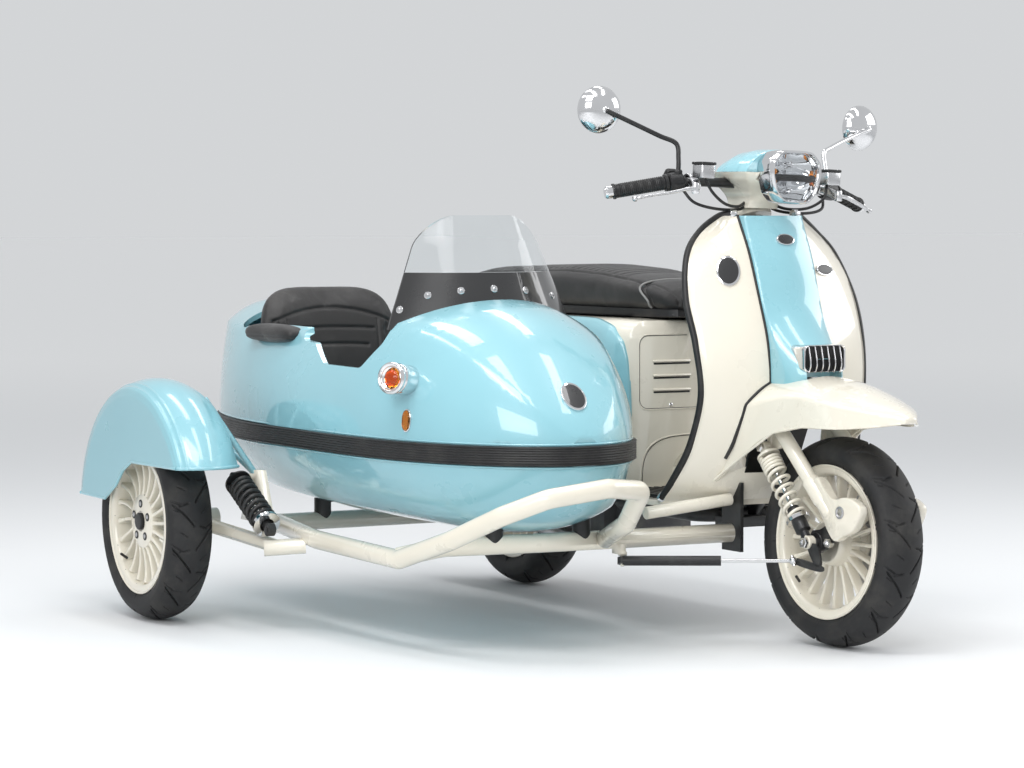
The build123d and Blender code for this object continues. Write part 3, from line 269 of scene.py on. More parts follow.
def rubbery(name, colour, pale, grain=480.0, relief=0.12, roughness=0.55):
    """Dark moulded rubber or plastic: fine grain, and a film of pale dust."""
    made = Finish(name, colour, roughness, Specular_IOR_Level=0.42)
    film = made.noise(14.0, 6.0, 0.62).between(0.42, 0.78)
    made.put("Base Color", film.blend((*colour, 1), (*pale, 1)))
    made.put("Roughness", film * 0.18 + roughness)
    made.bump(made.noise(grain, 3.0), relief, 0.0006)
    return made.material


def hide(name, colour, worn):
    """Grained vinyl: a net of fine creases with pores, smoother and paler where it is sat on."""
    made = Finish(name, colour, 0.46, Specular_IOR_Level=0.5, Sheen_Weight=0.08)
    creases = made.cells(330.0).between(0.0, 0.12)
    pores = made.noise(900.0, 2.0)
    wear = made.noise(7.0, 4.0, 0.6).between(0.45, 0.75)
    made.put("Base Color", wear.blend((*colour, 1), (*worn, 1)))
    made.put("Roughness", 0.50 - wear * 0.12 + pores * 0.06)
    made.bump(creases * 0.75 + pores * 0.25, 0.22, 0.0007)
    return made.material


def clear(name, tint, roughness, ior):
    """Clear plastic or glass with faint wiping marks."""
    made = Finish(name, tint, roughness, Transmission_Weight=1.0, IOR=ior)
    marks = made.noise(24.0, 5.0, 0.7).between(0.45, 0.8)
    made.put("Roughness", marks * 0.05 + roughness)
    made.shades(tint, tuple(0.97 * c for c in tint), 6.0)
    return made.material


print("kinds of finish: lacquer, plated, brushed, rubbery, hide, clear")

# %% The list of finishes
BLUE = (0.255, 0.520, 0.590)
BLUE_DEEP = (0.232, 0.492, 0.565)
CREAM = (0.790, 0.745, 0.640)
CREAM_DEEP = (0.755, 0.705, 0.595)
finish = {
    "blue_paint": lacquer("blue_paint", BLUE, BLUE_DEEP),
    "cream_paint": lacquer("cream_paint", CREAM, CREAM_DEEP),
    "black_paint": rubbery("black_paint", (0.018, 0.018, 0.019), (0.05, 0.05, 0.048), 300.0, 0.05, 0.30),
    "chrome": plated("chrome", (0.78, 0.78, 0.79), 0.05, 0.14),
    "bare_aluminium": plated("bare_aluminium", (0.62, 0.62, 0.63), 0.22, 0.36),
    "steel": brushed("steel", (0.50, 0.50, 0.51), 0.34),
    "iron": rubbery("iron", (0.10, 0.10, 0.105), (0.17, 0.165, 0.155), 160.0, 0.4, 0.62),
    "tyre": rubbery("tyre", (0.014, 0.014, 0.015), (0.046, 0.044, 0.041), 620.0, 0.22, 0.62),
    # The piping's grey base colour is a painted sheen, pale as its gloss looks, on top of its real low
    # roughness.
    "piping": rubbery("piping", (0.22, 0.22, 0.215), (0.28, 0.28, 0.27), 420.0, 0.10, 0.30),
    "rubber": rubbery("rubber", (0.012, 0.012, 0.013), (0.034, 0.033, 0.032), 420.0, 0.12, 0.42),
    "vinyl": hide("vinyl", (0.016, 0.015, 0.015), (0.036, 0.034, 0.033)),
    "black_plastic": rubbery("black_plastic", (0.014, 0.014, 0.015), (0.03, 0.03, 0.03), 700.0, 0.16, 0.40),
    "dark_acrylic": lacquer("dark_acrylic", (0.006, 0.006, 0.007), (0.010, 0.010, 0.011)),
    "clear_acrylic": clear("clear_acrylic", (0.93, 0.96, 0.97), 0.02, 1.20),
    "lamp_glass": clear("lamp_glass", (0.95, 0.96, 0.97), 0.03, 1.35),
    "red_lens": clear("red_lens", (0.62, 0.02, 0.02), 0.08, 1.45),
    "amber_lens": clear("amber_lens", (0.95, 0.30, 0.02), 0.06, 1.45),
    "mirror": plated("mirror", (0.86, 0.87, 0.88), 0.015, 0.05),}
print(len(finish), "finishes")

# %% [markdown]
# ## Surfaces from grids
# Nearly every piece below is a rectangle of points bent into shape. Rows and columns may close on
# themselves, as round a tyre, and open ends are closed with a flat cap or drawn to a point. One
# helper turns such a grid into a mesh, and a few more give the usual shapes: a turned profile, a
# profile carried along a path, and a thin plate.

# %% Grid to mesh
FORK_BODIES = ("steering", "front_wheel")


def piece(name, points, slot, body, closed_rows=False, closed_columns=False, sharp=35.0):
    """A mesh object of a grid of points in millimetres, shape (rows, columns, 3). Each face joins
    four neighbours: point (i, j) with (i + 1, j), (i + 1, j + 1) and (i, j + 1). The points of the
    fork's bodies are given straight ahead and turned with the fork."""
    points = np.asarray(points, float)
    points = at(steered(points) if body in FORK_BODIES else points)
    rows, columns = points.shape[:2]
    i = np.arange(rows if closed_rows else rows - 1)[:, None]
    j = np.arange(columns if closed_columns else columns - 1)[None, :]
    i2, j2 = (i + 1) % rows, (j + 1) % columns
    corner = [i * columns + j, i2 * columns + j, i2 * columns + j2, i * columns + j2]
    faces = np.stack([c.ravel() for c in corner], axis=1).tolist()
    if closed_columns and not closed_rows:
        faces += [list(range(columns)), list(range((rows - 1) * columns, rows * columns))[::-1]]
    mesh = bpy.data.meshes.new(name)
    mesh.from_pydata(points.reshape(-1, 3), [], faces)
    made = bpy.data.objects.new(name, mesh)
    bpy.context.scene.collection.objects.link(made)
    tidy(made, sharp)
    mesh.materials.append(finish[slot])
    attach(made, body)
    return made


# %% Cleaning a mesh


def tidy(made, sharp):
    """Faces outwards, one point where several met, and smooth shading except at real corners."""
    work = bmesh.new()
    work.from_mesh(made.data)
    bmesh.ops.remove_doubles(work, verts=work.verts, dist=1e-6)
    bmesh.ops.dissolve_degenerate(work, edges=work.edges, dist=1e-7)
    bmesh.ops.recalc_face_normals(work, faces=work.faces)
    work.to_mesh(made.data)
    work.free()
    made.data.shade_smooth()
    made.data.set_sharp_from_angle(angle=math.radians(sharp))

# %% Turned shapes and swept sections


def cross_frame(axis):
    """Two unit vectors square to an axis and to each other."""
    axis = np.asarray(axis, float) / np.linalg.norm(axis)
    helper = np.array([0.0, 0.0, 1.0]) if abs(axis[2]) < 0.9 else np.array([1.0, 0.0, 0.0])
    first = np.cross(helper, axis)
    first /= np.linalg.norm(first)
    return axis, first, np.cross(axis, first)


def lathe(profile, centre, axis, steps=64):
    """A turned shape: every (radius, distance along the axis) of the profile goes round the axis,
    centre + axis d + r (e cos a + f sin a)."""
    axis, e, f = cross_frame(axis)
    r, d = np.asarray(profile, float).T
    a = np.linspace(0, 2 * math.pi, steps, endpoint=False)
    around = np.cos(a)[:, None] * e + np.sin(a)[:, None] * f
    return np.asarray(centre, float) + d[:, None, None] * axis + r[:, None, None] * around[None]


def smooth_path(points, count):
    """A curve through the points: Catmull-Rom, with each span's share of the samples equal."""
    p = np.asarray(points, float)
    p = np.vstack([2 * p[0] - p[1], p, 2 * p[-1] - p[-2]])
    s = np.linspace(0, len(p) - 3, count)
    k = np.minimum(s.astype(int), len(p) - 4)
    t = (s - k)[:, None]
    a, b, c, d = p[k], p[k + 1], p[k + 2], p[k + 3]
    return 0.5 * (2 * b + (c - a) * t + (2 * a - 5 * b + 4 * c - d) * t ** 2 + (3 * b - a - 3 * c + d) * t ** 3)


def along(path, section, up=UP, scale=1.0):
    """A profile carried along a path. The section's (across, up) axes are square to the path:
    across = tangent x up, and up = across x tangent."""
    path = np.asarray(path, float)
    tangent = np.gradient(path, axis=0)
    tangent /= np.linalg.norm(tangent, axis=1)[:, None]
    across = np.cross(tangent, np.asarray(up, float))
    across /= np.linalg.norm(across, axis=1)[:, None]
    rise = np.cross(across, tangent)
    u, v = np.asarray(section, float).T
    size = np.broadcast_to(scale, (len(path),))[:, None, None]
    return path[:, None] + size * (u[None, :, None] * across[:, None] + v[None, :, None] * rise[:, None])


def at_rows(table, x, *columns):
    """Columns of a table of stations at x, with straight lines between the stations."""
    return (np.interp(x, table[:, 0], table[:, i]) for i in columns)


def circle(radius, steps=16):
    a = np.linspace(0, 2 * math.pi, steps, endpoint=False)
    return np.stack([radius * np.cos(a), radius * np.sin(a)], axis=1)


print("points of a circle:", len(circle(1.0)))

# %% Outlines and plates


def rounded(half_w, half_h, corner, steps=6):
    """Outline of a rectangle with round corners, anticlockwise from the right side's foot."""
    a = np.linspace(0, math.pi / 2, steps)
    quarter = np.stack([np.cos(a), np.sin(a)], axis=1) * corner
    signs = ((1, 1), (-1, 1), (-1, -1), (1, -1))
    out = []
    for turn, (sx, sy) in enumerate(signs):
        c, s = math.cos(turn * math.pi / 2), math.sin(turn * math.pi / 2)
        spun = quarter @ np.array([[c, s], [-s, c]])
        out.append(spun + [sx * (half_w - corner), sy * (half_h - corner)])
    return np.vstack(out)


def slab(outline, centre, normal, up, depth, edge=0.0):
    """A plate: an outline of (right, up) points, drawn in at both faces by a small round edge."""
    normal = np.asarray(normal, float) / np.linalg.norm(normal)
    right = np.cross(up, normal)
    right /= np.linalg.norm(right)
    rise = np.cross(normal, right)
    outline = np.asarray(outline, float)
    size = np.abs(outline).max()
    levels = [
        (0.001, 0.0), (1 - edge / size, 0.0), (1 - 0.3 * edge / size, 0.3 * edge), (1.0, edge),
        (1.0, depth - edge), (1 - 0.3 * edge / size, depth - 0.3 * edge), (1 - edge / size, depth),
        (0.001, depth)]
    rows = [
        np.asarray(centre) + (outline * k)[:, :1] * right + (outline * k)[:, 1:] * rise + d * normal for k,
        d in levels]
    return np.stack(rows)


def signed_power(value, power):
    """sgn(v) |v|^p."""
    return np.sign(value) * np.abs(value) ** power


def superoval(count, power):
    """Points round a rounded square: x = sgn(cos a) |cos a|^p, y likewise with the sine."""
    a = np.linspace(0, 2 * math.pi, count, endpoint=False)
    return np.stack([signed_power(np.cos(a), power), signed_power(np.sin(a), power)], axis=1)


print("points of a rounded outline:", len(rounded(20, 10, 4)))

# %% Pieces that end as one object


class Group:
    """Pieces on one body that end as one object. Most methods shape one piece and add it."""

    def __init__(self, body):
        self.body = body
        self.made = []

    def add(self, name, points, slot, sharp=40, closed_rows=False, closed_columns=True):
        self.made.append(piece(name, points, slot, self.body, closed_rows, closed_columns, sharp))

    def plate(self, name, slot, sharp, *shape):
        """A slab of an outline, centre, normal, up, depth and edge."""
        self.add(name, slab(*shape), slot, sharp)

    def swept(self, name, slot, sharp, *shape):
        """A section carried along a path, given as path, section, up and scale."""
        self.add(name, along(*shape), slot, sharp)

    def turned(self, name, profile, centre, axis, slot, steps=48, sharp=30.0):
        """A turned shape. A profile (radius, distance along the axis) that stays off the axis is a ring."""
        ring = profile[0][0] > 0 and profile[-1][0] > 0
        self.add(name, lathe(profile, centre, axis, steps), slot, sharp, ring)

    def tube(self, name, points, radius, slot, count=60, sides=16, up=UP):
        """A round tube on a smooth curve through the points; its ends are rounded over."""
        path = smooth_path(points, count)
        path = np.vstack([path[:1], path[:1], path, path[-1:], path[-1:]])
        lead = np.gradient(path[2:-2], axis=0)
        first, last = (lead[i] / np.linalg.norm(lead[i]) * radius for i in (0, -1))
        path[0] -= first * 0.5
        path[1] -= first * 0.35
        path[-2] += last * 0.35
        path[-1] += last * 0.5
        scale = np.concatenate([[0.45, 0.8], np.ones(count), [0.8, 0.45]])
        self.swept(name, slot, 60, path, circle(radius, sides), up, scale)

    def bolt(self, name, centre, axis, across, high, slot):
        """A hexagon head with a chamfer and a sunk middle: a turned profile with six sides."""
        r, sunk = across / 2 / math.cos(math.pi / 6), high * 0.65
        profile = [
            (0, 0), (r, 0), (r, high * 0.75), (r * 0.9, high), (r * 0.5, high), (r * 0.42, sunk), (0, sunk)]
        self.turned(name, profile, centre, axis, slot, 6, 20)

    def domed(self, name, centre, axis, radius, high, slot, steps=40):
        """A low dome: height falls with the square of the distance from its middle."""
        r = np.linspace(0, radius, 12)
        top = high * (1 - (r / radius) ** 2)
        profile = np.vstack([np.stack([r, top], 1), [(radius, -high * 0.4), (0, -high * 0.4)]])
        self.turned(name, profile, centre, axis, slot, steps, 40)

    def join(self, name, *replaced):
        """One object of all the pieces. It may stand for CAD nodes."""
        whole = self.made[0]
        with bpy.context.temp_override(
                active_object=whole, selected_editable_objects=self.made, selected_objects=self.made):
            bpy.ops.object.join()
        whole.name = whole.data.name = name
        if replaced:
            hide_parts(*replaced)
        print(name + ":", len(self.made), "pieces,", len(whole.data.polygons), "faces")
        return whole


print("a group can:", [name for name in vars(Group) if not name.startswith("_")])

# %% [markdown]
# ## Dressing the solids
# Every solid gets the finish of its slot. The large painted panels came over as loose triangles,
# which would catch the light facet by facet. A merged copy with smooth shading stands for each.

# %% Finishes on the solids
SMOOTHED = (
    "leg_shield", "centre_panel", "front_mudguard", "footboard", "body_shell", "inner_panel", "headset",
    "sidecar_cowl", "sidecar_hull", "bumper_tube", "sidecar_struts", "cross_tube", "scooter_frame",
    "sidecar_arm", "rear_cross_tube")
bodies_of = {name: body for body, names in frame["record"]["behaviour"]["bodies"].items() for name in names}
slot_of = {row["node"]: row["material_slot"] for row in frame["record"]["subparts"]}
for name, solid in nodes.items():
    solid.data.materials.clear()
    solid.data.materials.append(finish[slot_of[name]])


def smooth_copy(name):
    """A merged copy of a solid that stands for it, smooth except at its real corners."""
    copy = bpy.data.objects.new("smooth_" + name, nodes[name].data.copy())
    bpy.context.scene.collection.objects.link(copy)
    work = bmesh.new()
    work.from_mesh(copy.data)
    bmesh.ops.remove_doubles(work, verts=work.verts, dist=2e-6)
    bmesh.ops.dissolve_degenerate(work, edges=work.edges, dist=1e-7)
    work.to_mesh(copy.data)
    work.free()
    copy.data.shade_smooth()
    copy.data.set_sharp_from_angle(angle=math.radians(32.0))
    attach(copy, bodies_of[name])
    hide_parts(name)


for name in SMOOTHED:
    smooth_copy(name)
print(len(SMOOTHED), "solids smoothed")

# %% [markdown]
# ## Tyres
# Each tyre was drawn plain. On the road it has a rounded tread with slanting grooves that pump
# water from the middle to the shoulders, and smooth sidewalls with a few rings. Cutting hundreds
# of grooves as solids is slow, so here the tyre is one grid, and the grooves are a depth
# subtracted where a point lies near a groove's middle line.

# %% Tread and section of a tyre


def arc3(p, q, r, count):
    """Points on the circle through three points of a plane, from p over q to r."""
    (ax, ay), (bx, by), (cx, cy) = p, q, r
    d = 2 * (ax * (by - cy) + bx * (cy - ay) + cx * (ay - by))
    a2, b2, c2 = ax * ax + ay * ay, bx * bx + by * by, cx * cx + cy * cy
    ux = (a2 * (by - cy) + b2 * (cy - ay) + c2 * (ay - by)) / d
    uy = (a2 * (cx - bx) + b2 * (ax - cx) + c2 * (bx - ax)) / d
    a0, a1, a2 = (math.atan2(y - uy, x - ux) for x, y in (p, q, r))
    sweep = (a2 - a0) % (2 * math.pi)
    if (a1 - a0) % (2 * math.pi) > sweep:
        sweep -= 2 * math.pi
    a = np.linspace(a0, a0 + sweep, count)
    radius = math.hypot(ax - ux, ay - uy)
    return np.stack([ux + radius * np.cos(a), uy + radius * np.sin(a)], 1)


def step(value, low, high):
    """0 below low, 1 above high, and a smooth cubic between."""
    t = np.clip((value - low) / (high - low), 0, 1)
    return t * t * (3 - 2 * t)


BEAD_R, FLANGE_R, RIM_W = 152.4, 168.0, 84.0
# Tread grooves: lead on the pitch, sweep towards the shoulder, bend, from and to as shares of the
# half width, half width of the groove in mm, depth in mm
GROOVES = (
    (0.00, 0.62, 0.9, 0.05, 0.86, 2.9, 5.0), (0.36, 0.30, 1.0, 0.48, 0.93, 2.2, 3.6),
    (0.56, -0.16, 1.4, 0.22, 0.62, 2.0, 3.6), (0.74, 0.34, 1.2, 0.30, 0.60, 1.4, 2.6),
    (0.20, 0.28, 1.2, 0.62, 0.84, 1.4, 2.6),)
PITCHES = 13


def tyre_grid(radius, width, centre):
    """A tyre round an axle along Y: the profile (r, y) goes round the axle as (r cos a, y, r sin a),
    and r is less by the grooves' depth. A groove's middle line is where the phase of the angle,
    less its sweep times the distance from the middle, is a whole number."""
    half, bead = width / 2, RIM_W / 2 - 0.3
    shoulder = (radius - 0.32 * half, 0.86 * half)
    wide = (FLANGE_R + (radius - FLANGE_R) * 0.36, half)
    wall = arc3((FLANGE_R, bead), wide, shoulder, 16)[:-1]
    crown = arc3(shoulder, (radius, 0), (shoulder[0], -shoulder[1]), 59)
    profile = np.vstack([
        [(BEAD_R + 0.3, bead), (160.0, bead)], wall, crown, wall[::-1] * [1, -1],
        [(160.0, -bead), (BEAD_R + 0.3, -bead)]])
    a = np.linspace(0, 2 * math.pi, 900, endpoint=False)[None, :]
    r, y = profile[:, :1], profile[:, 1:]
    v = np.abs(y) / half
    pitch = 2 * math.pi * radius / PITCHES
    depth = 0.0 * a * r
    for lead, sweep, bend, start, end, half_w, deep in GROOVES:
        phase = PITCHES * a / (2 * math.pi) - lead - sweep * v ** bend + 0.5 * (y > 0)
        apart = np.abs(phase - np.round(phase)) * pitch
        inside = step(v, start - 0.02, start + 0.03) * (1 - step(v, end - 0.03, end + 0.02))
        depth = np.maximum(depth, deep * inside * (1 - step(apart, half_w - 0.9, half_w + 0.9)))
    on_wall = (r < shoulder[0] - 1) & (r > FLANGE_R)
    rings = 0.7 * np.cos((r - FLANGE_R) * 0.75) ** 8 * on_wall
    r = r - depth
    y = y + np.sign(y) * (rings - 0.7 * on_wall)
    cx, cy, cz = centre
    return np.stack([cx + r * np.cos(a), cy + y + 0 * a, cz + r * np.sin(a)], axis=2)


print("grooves in one pitch of the tread:", len(GROOVES))

# %% The three tyres
WHEELS = (("front", FRONT_HUB, 110.0), ("rear", REAR_HUB, 120.0), ("sidecar", CAR_HUB, 110.0))
for name, hub, width in WHEELS:
    grooved = piece(
        "grooved_" + name + "_tyre", tyre_grid(hub[2], width, hub), "tyre", name + "_wheel", True, True, 50)
    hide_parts(name + "_tyre")
print("tyres:", len(grooved.data.polygons), "faces each")

# %% [markdown]
# ## Wheels
# The wheels are castings with twenty slim spokes, so barrel and hub are turned and a spoke is a bar
# carried from one to the other. The sidecar's wheel is held by five nuts sunk round a dark bore.
# The front hub has a cap on both sides, and each rim has a valve and a thin machined lip.

# %% Cast wheels


def spoked_wheel(name, centre, out, body, count, levels, sweep, face, replaced):
    """A cast wheel. Its barrel and hub are turned. A spoke is a bar whose middle line goes from hub
    to barrel at the given (radius, distance towards the outer side) levels and swings round by
    sweep degrees; it is deep along the axle and widens at both ends."""
    bits = Group(body)
    bits.turned(
        "barrel",
        [
            (166, 46), (168.2, 44.5), (168.2, 42.2), (152.2, 42), (152.2, -42), (168.2, -42.2), (168.2, -44.5),
            (166, -46), (152, -46), (146.5, -40), (146, 0), (146.5, 38), (149.5, 44), (153, 46)],
        centre, (0, out, 0), "cream_paint", 128, 38)
    bits.turned("hub", face, centre, (0, out, 0), "cream_paint", 96, 38)
    levels = np.asarray(levels, float)
    s = np.linspace(0, 1, 22)
    fine = smooth_path(np.column_stack([levels, np.zeros(len(levels))]), 22)
    for k in range(count):
        angle = 2 * math.pi * k / count + math.radians(sweep) * s ** 1.5
        path = np.stack([centre[0] + fine[:, 0] * np.cos(angle), centre[1] + out * fine[:, 1],
                         centre[2] + fine[:, 0] * np.sin(angle)], axis=1)
        wide = 1 + 0.55 * np.exp(-s * 9) + 0.75 * np.exp(-(1 - s) * 9)
        section = along(path, rounded(4.0, 13.0, 3.2, 4), (0, out, 0), 1.0)
        spread = (
            section - path[:, None]) * [1, 0, 1] * wide[:, None, None] + (section - path[:, None]) * [0, 1, 0]
        bits.add("spoke", path[:, None] + spread, "cream_paint", 50)
    bits.join(name, replaced)


DISH = ((52, 24), (76, 19), (104, 17), (130, 19), (149, 24))
FLAT_HUB = (
    (10.2, -46), (36, -46), (44, -34), (44, -6), (58, 12), (63, 30), (62, 35), (58, 37.5), (24, 38.5), (22, 36),
    (10.2, 36))
CONE_HUB = ((10.2, -46), (42, -46), (48, -40), (54, -16), (60, 0), (54, 16), (48, 40), (42, 46), (10.2, 46))
THROUGH = ((50, 6), (80, 5), (110, 5), (149, 6))
spoked_wheel("sidecar_wheel_casting", CAR_HUB, -1, "sidecar_wheel", 20, DISH, 5, FLAT_HUB, "sidecar_rim")
spoked_wheel("front_wheel_casting", FRONT_HUB, -1, "front_wheel", 20, THROUGH, 0, CONE_HUB, "front_rim")
spoked_wheel("rear_wheel_casting", REAR_HUB, -1, "rear_wheel", 20, THROUGH, 0, CONE_HUB, "rear_rim")

# %% Nuts, lips, valves and caps
SIDE_FACE = CAR_HUB[1] - 38.3  # outer face of the hub
side_bits = Group("sidecar_wheel")
for k in range(5):
    turn = math.radians(90 + 72 * k)
    spot = (211 + 41 * math.cos(turn), SIDE_FACE, 229.4 + 41 * math.sin(turn))
    side_bits.turned(
        "seat", [(0, -2), (9.6, -2), (9.6, 0.8), (8.6, 1.0), (8.0, 0.3), (0, 0.3)], spot, RIGHT,
        "black_plastic", 24)
    side_bits.bolt("nut", (spot[0], spot[1] + 1.0, spot[2]), RIGHT, 10.0, 3.0, "steel")
side_bits.turned(
    "bore", [(0, -3), (20, -3), (20, 5.5), (18, 7.6), (12, 8.2), (0, 8.4)], (211, SIDE_FACE, 229.4), RIGHT,
    "black_plastic", 36)
side_bits.join("sidecar_wheel_bolts")
for name, (cx, cy, cz), _ in WHEELS:
    lips = Group(name + "_wheel")
    for side in SIDES:
        lips.turned(
            "lip", [(163.0, 0), (168.6, 0), (169.0, 2.2), (167.0, 3.4), (163.0, 1.6)],
            (cx, cy + side * 45.5, cz), (0, side, 0), "cream_paint", 120, 40)
    low = np.array([cx - 104, cy - 30, cz - 96])
    lips.tube("valve", [low, low + [9, -14, 8.5], low + [13, -20, 12]], 3.2, "rubber", 12, 12)
    lips.join(name + "_rim_lips")
for side in SIDES:
    cap = Group("front_wheel")
    cap.turned(
        "cap", [(12, 46), (45, 46), (50, 40), (52, 30), (46, 30), (12, 30)], FRONT_HUB, (0, side, 0),
        "cream_paint", 64)
    cap.join("front_hub_cap_" + ("right" if side < 0 else "left"))
print("wheels cast")

# %% [markdown]
# ## Spring units
# A spring unit is a coil round a damper. The front springs are painted cream, and their upper
# turns lie closer than the lower ones. A pierced collar under the spring sets its preload. The
# coil is a circle carried along a helix whose rise changes with the angle.

# %% Spring units


def coil(low, high, radius, wire, turns, close_share=0.0, samples=30):
    """A helix with a round wire: low + axis z(t) + radius (e cos 2 pi n t + f sin 2 pi n t). The
    last turns lie closer where close_share of the turns share a quarter of the length."""
    low, high = np.asarray(low, float), np.asarray(high, float)
    axis, e, f = cross_frame(high - low)
    t = np.linspace(0, 1, int(turns * samples))
    z = t if not close_share else np.interp(t, [0, 1 - close_share, 1], [0, 0.76, 1.0])
    angle = 2 * math.pi * turns * t
    path = (
        low + axis * (z * np.linalg.norm(high - low))[:, None] + radius
        * (np.cos(angle)[:, None] * e + np.sin(angle)[:, None] * f))
    return along(path, circle(wire, 10), axis)


def spring_unit(parts, low, high, marks, radii, spring, upper="black_paint", close_share=0.0, turns=9):
    """Adds a damper, spring, collar and two eyes to a group. Marks are distances from the lower eye:
    spring foot and spring top. Radii are those of the spring, its wire and the damper body."""
    low, high = np.asarray(low, float), np.asarray(high, float)
    length = np.linalg.norm(high - low)
    axis = (high - low) / length
    foot, top = marks
    r, wire, body_r = radii
    parts.add(
        "coil", coil(low + axis * (foot + wire), low + axis * (top - wire), r - wire, wire, turns, close_share),
        spring, 60)
    parts.turned("shaft", [(0, foot), (5.5, foot), (5.5, top), (0, top)], low, axis, "chrome", 24)
    parts.turned(
        "lower",
        [
            (0, 10), (body_r * 0.62, 12), (body_r * 0.62, 26), (body_r, 30), (body_r, foot - 12),
            (body_r * 0.8, foot + 24), (0, foot + 26)],
        low, axis, "black_paint", 36)
    parts.turned(
        "collar", [(body_r, foot - 12), (r + 1, foot - 11), (r + 1.5, foot - 3), (r - 1, foot), (body_r, foot)],
        low, axis, "chrome", 36)
    parts.turned(
        "cap",
        [
            (0, top), (r + 0.5, top), (r + 0.5, top + 5), (r * 0.6, top + 9), (r * 0.45, length - 9),
            (0, length - 9)],
        low, axis, upper, 36)
    for centre, eye_r in ((low, 15.0), (high, 13.0)):
        parts.turned(
            "eye", [(5, -9), (eye_r - 1, -9), (eye_r, -8), (eye_r, 8), (eye_r - 1, 9), (5, 9)], centre, LEFT,
            upper, 32)
        parts.turned("bush", [(0, -10.5), (7, -10.5), (7, 10.5), (0, 10.5)], centre, LEFT, "rubber", 24)

# %% The spring units in place
front_springs = Group("steering")
for side in SIDES:
    eye, top_eye = np.array([1390, side * 94, 229.4]), np.array([1226, side * 94, 426])
    spring_unit(front_springs, eye, top_eye, (66, 230), (25.5, 4.0, 17), "cream_paint", "cream_paint", 0.46, 10)
    for k in range(10):
        turn = 2 * math.pi * k / 10
        axis, e, f = cross_frame(top_eye - eye)
        outward = e * math.cos(turn) + f * math.sin(turn)
        # The collar's holes are small black domes: painted shade in place of the holes' dark inside.
        front_springs.domed("hole", eye + axis * 58 + outward * 25.6, outward, 2.6, 0.6, "black_plastic", 12)
front_springs.join("front_spring_units", "front_shocks")
car_spring = Group("chassis")
spring_unit(
    car_spring, (561, -985, 232), (372, -985, 336), (30, 192), (31, 5.6, 17), "black_paint", close_share=0.3,
    turns=8)
car_spring.join("sidecar_spring_unit", "sidecar_shock")
rear_springs = Group("chassis")
for side, low in ((-1, 318), (1, 300)):
    spring_unit(
        rear_springs, (-60, side * 132, low), (-40, side * 132, 592), (72, 236), (24, 4.2, 15), "chrome")
rear_springs.join("rear_spring_units", "rear_shocks")
print("spring units made")

# %% [markdown]
# ## Padded seats
# The scooter's seat, the sidecar's seat and back, and the two armrests are foam under vinyl. A
# drawn block looks hard, because real foam pushes its cover out between the seams. Blender's
# cloth can do that: the cover is remeshed evenly, air pressure inside swells it for twenty
# frames, and how far any point moves is capped. Seams and sewn channels are pressed in after.

# %% Inflating a cushion
CLOTH_FRAMES = 20


def inflate(made, cap, voxel=0.006, pressure=4.0):
    """Swells a closed shape by cloth under pressure. Each point keeps the direction of its move, and
    the length of the move is at most cap."""
    scene = bpy.context.scene
    remesh = made.modifiers.new("even", "REMESH")
    remesh.mode = "VOXEL"
    remesh.voxel_size = voxel
    bake_modifiers(made)
    start = read_points(made)
    cloth = made.modifiers.new("cloth", "CLOTH")
    cloth.settings.use_pressure = True
    cloth.settings.uniform_pressure_force = pressure
    cloth.settings.effector_weights.gravity = 0
    cloth.settings.mass = 0.3
    cloth.settings.quality = 4
    cloth.point_cache.frame_start = 1
    cloth.point_cache.frame_end = CLOTH_FRAMES
    for number in range(1, CLOTH_FRAMES + 1):
        scene.frame_set(number)
    bake_modifiers(made)
    scene.frame_set(1)
    move = read_points(made) - start
    far = np.linalg.norm(move, axis=1)
    write_points(made, start + move * np.minimum(1, cap / np.maximum(far, 1e-9))[:, None])
    finer = made.modifiers.new("finer", "SUBSURF")
    finer.levels = finer.render_levels = 1
    bake_modifiers(made)


def bake_modifiers(made):
    """Replaces the mesh by what its modifiers make of it."""
    graph = bpy.context.evaluated_depsgraph_get()
    mesh = bpy.data.meshes.new_from_object(made.evaluated_get(graph))
    made.modifiers.clear()
    old = made.data
    made.data = mesh
    bpy.data.meshes.remove(old)


def read_points(made):
    points = np.empty(len(made.data.vertices) * 3)
    made.data.vertices.foreach_get("co", points)
    return points.reshape(-1, 3)


def write_points(made, points):
    made.data.vertices.foreach_set("co", points.ravel())
    made.data.update()


print("cloth runs for", CLOTH_FRAMES, "frames")

# %% Pressing seams in


def press(made, depth_of):
    """Presses seams in: every point moves against its normal by depth_of, a function of the point in
    millimetres from the rear axle."""
    points = read_points(made)
    normals = np.empty(points.size)
    made.data.vertices.foreach_get("normal", normals)
    local = (points - START) * 1000
    write_points(made, points - normals.reshape(-1, 3) * depth_of(local)[:, None] / 1000)
    made.data.shade_smooth()
    made.data.materials.clear()
    made.data.materials.append(finish["vinyl"])


def groove(distance, half_width, depth):
    """Depth of a round-bottomed seam at a distance from its middle line."""
    return depth * np.exp(-(distance / half_width) ** 2)

# %% [markdown]
# ## The long seat
# The long seat has a smooth side and a top sewn across in shallow ribs, and a piping crosses
# it behind its nose, grey with a painted sheen. Its sections are stations along the machine,
# each a tucked side and a low crown.

# %% The long seat
SEAT_LOW, SEAT_SQUARE, SEAT_TUCK, SEAT_CROWN, CROWN_START = 717.0, 0.42, 0.10, 10, 12
NOSE_X, NOSE_RUN = 733, 42  # where the nose groove crosses the top, and how far it runs forward
SEAT_ROWS = np.array([
    (-150.0, 94.0, 768.0), (-128.0, 112.0, 780.0), (-90.0, 126.0, 797.0), (0.0, 137.0, 808.0),
    (150.0, 143.0, 813.0), (400.0, 143.0, 819.0), (560.0, 138.0, 812.0), (680.0, 130.0, 799.0),
    (735.0, 123.0, 790.0), (780.0, 117.0, 786.0), (822.0, 100.0, 772.0), (843.0, 78.0, 754.0)])


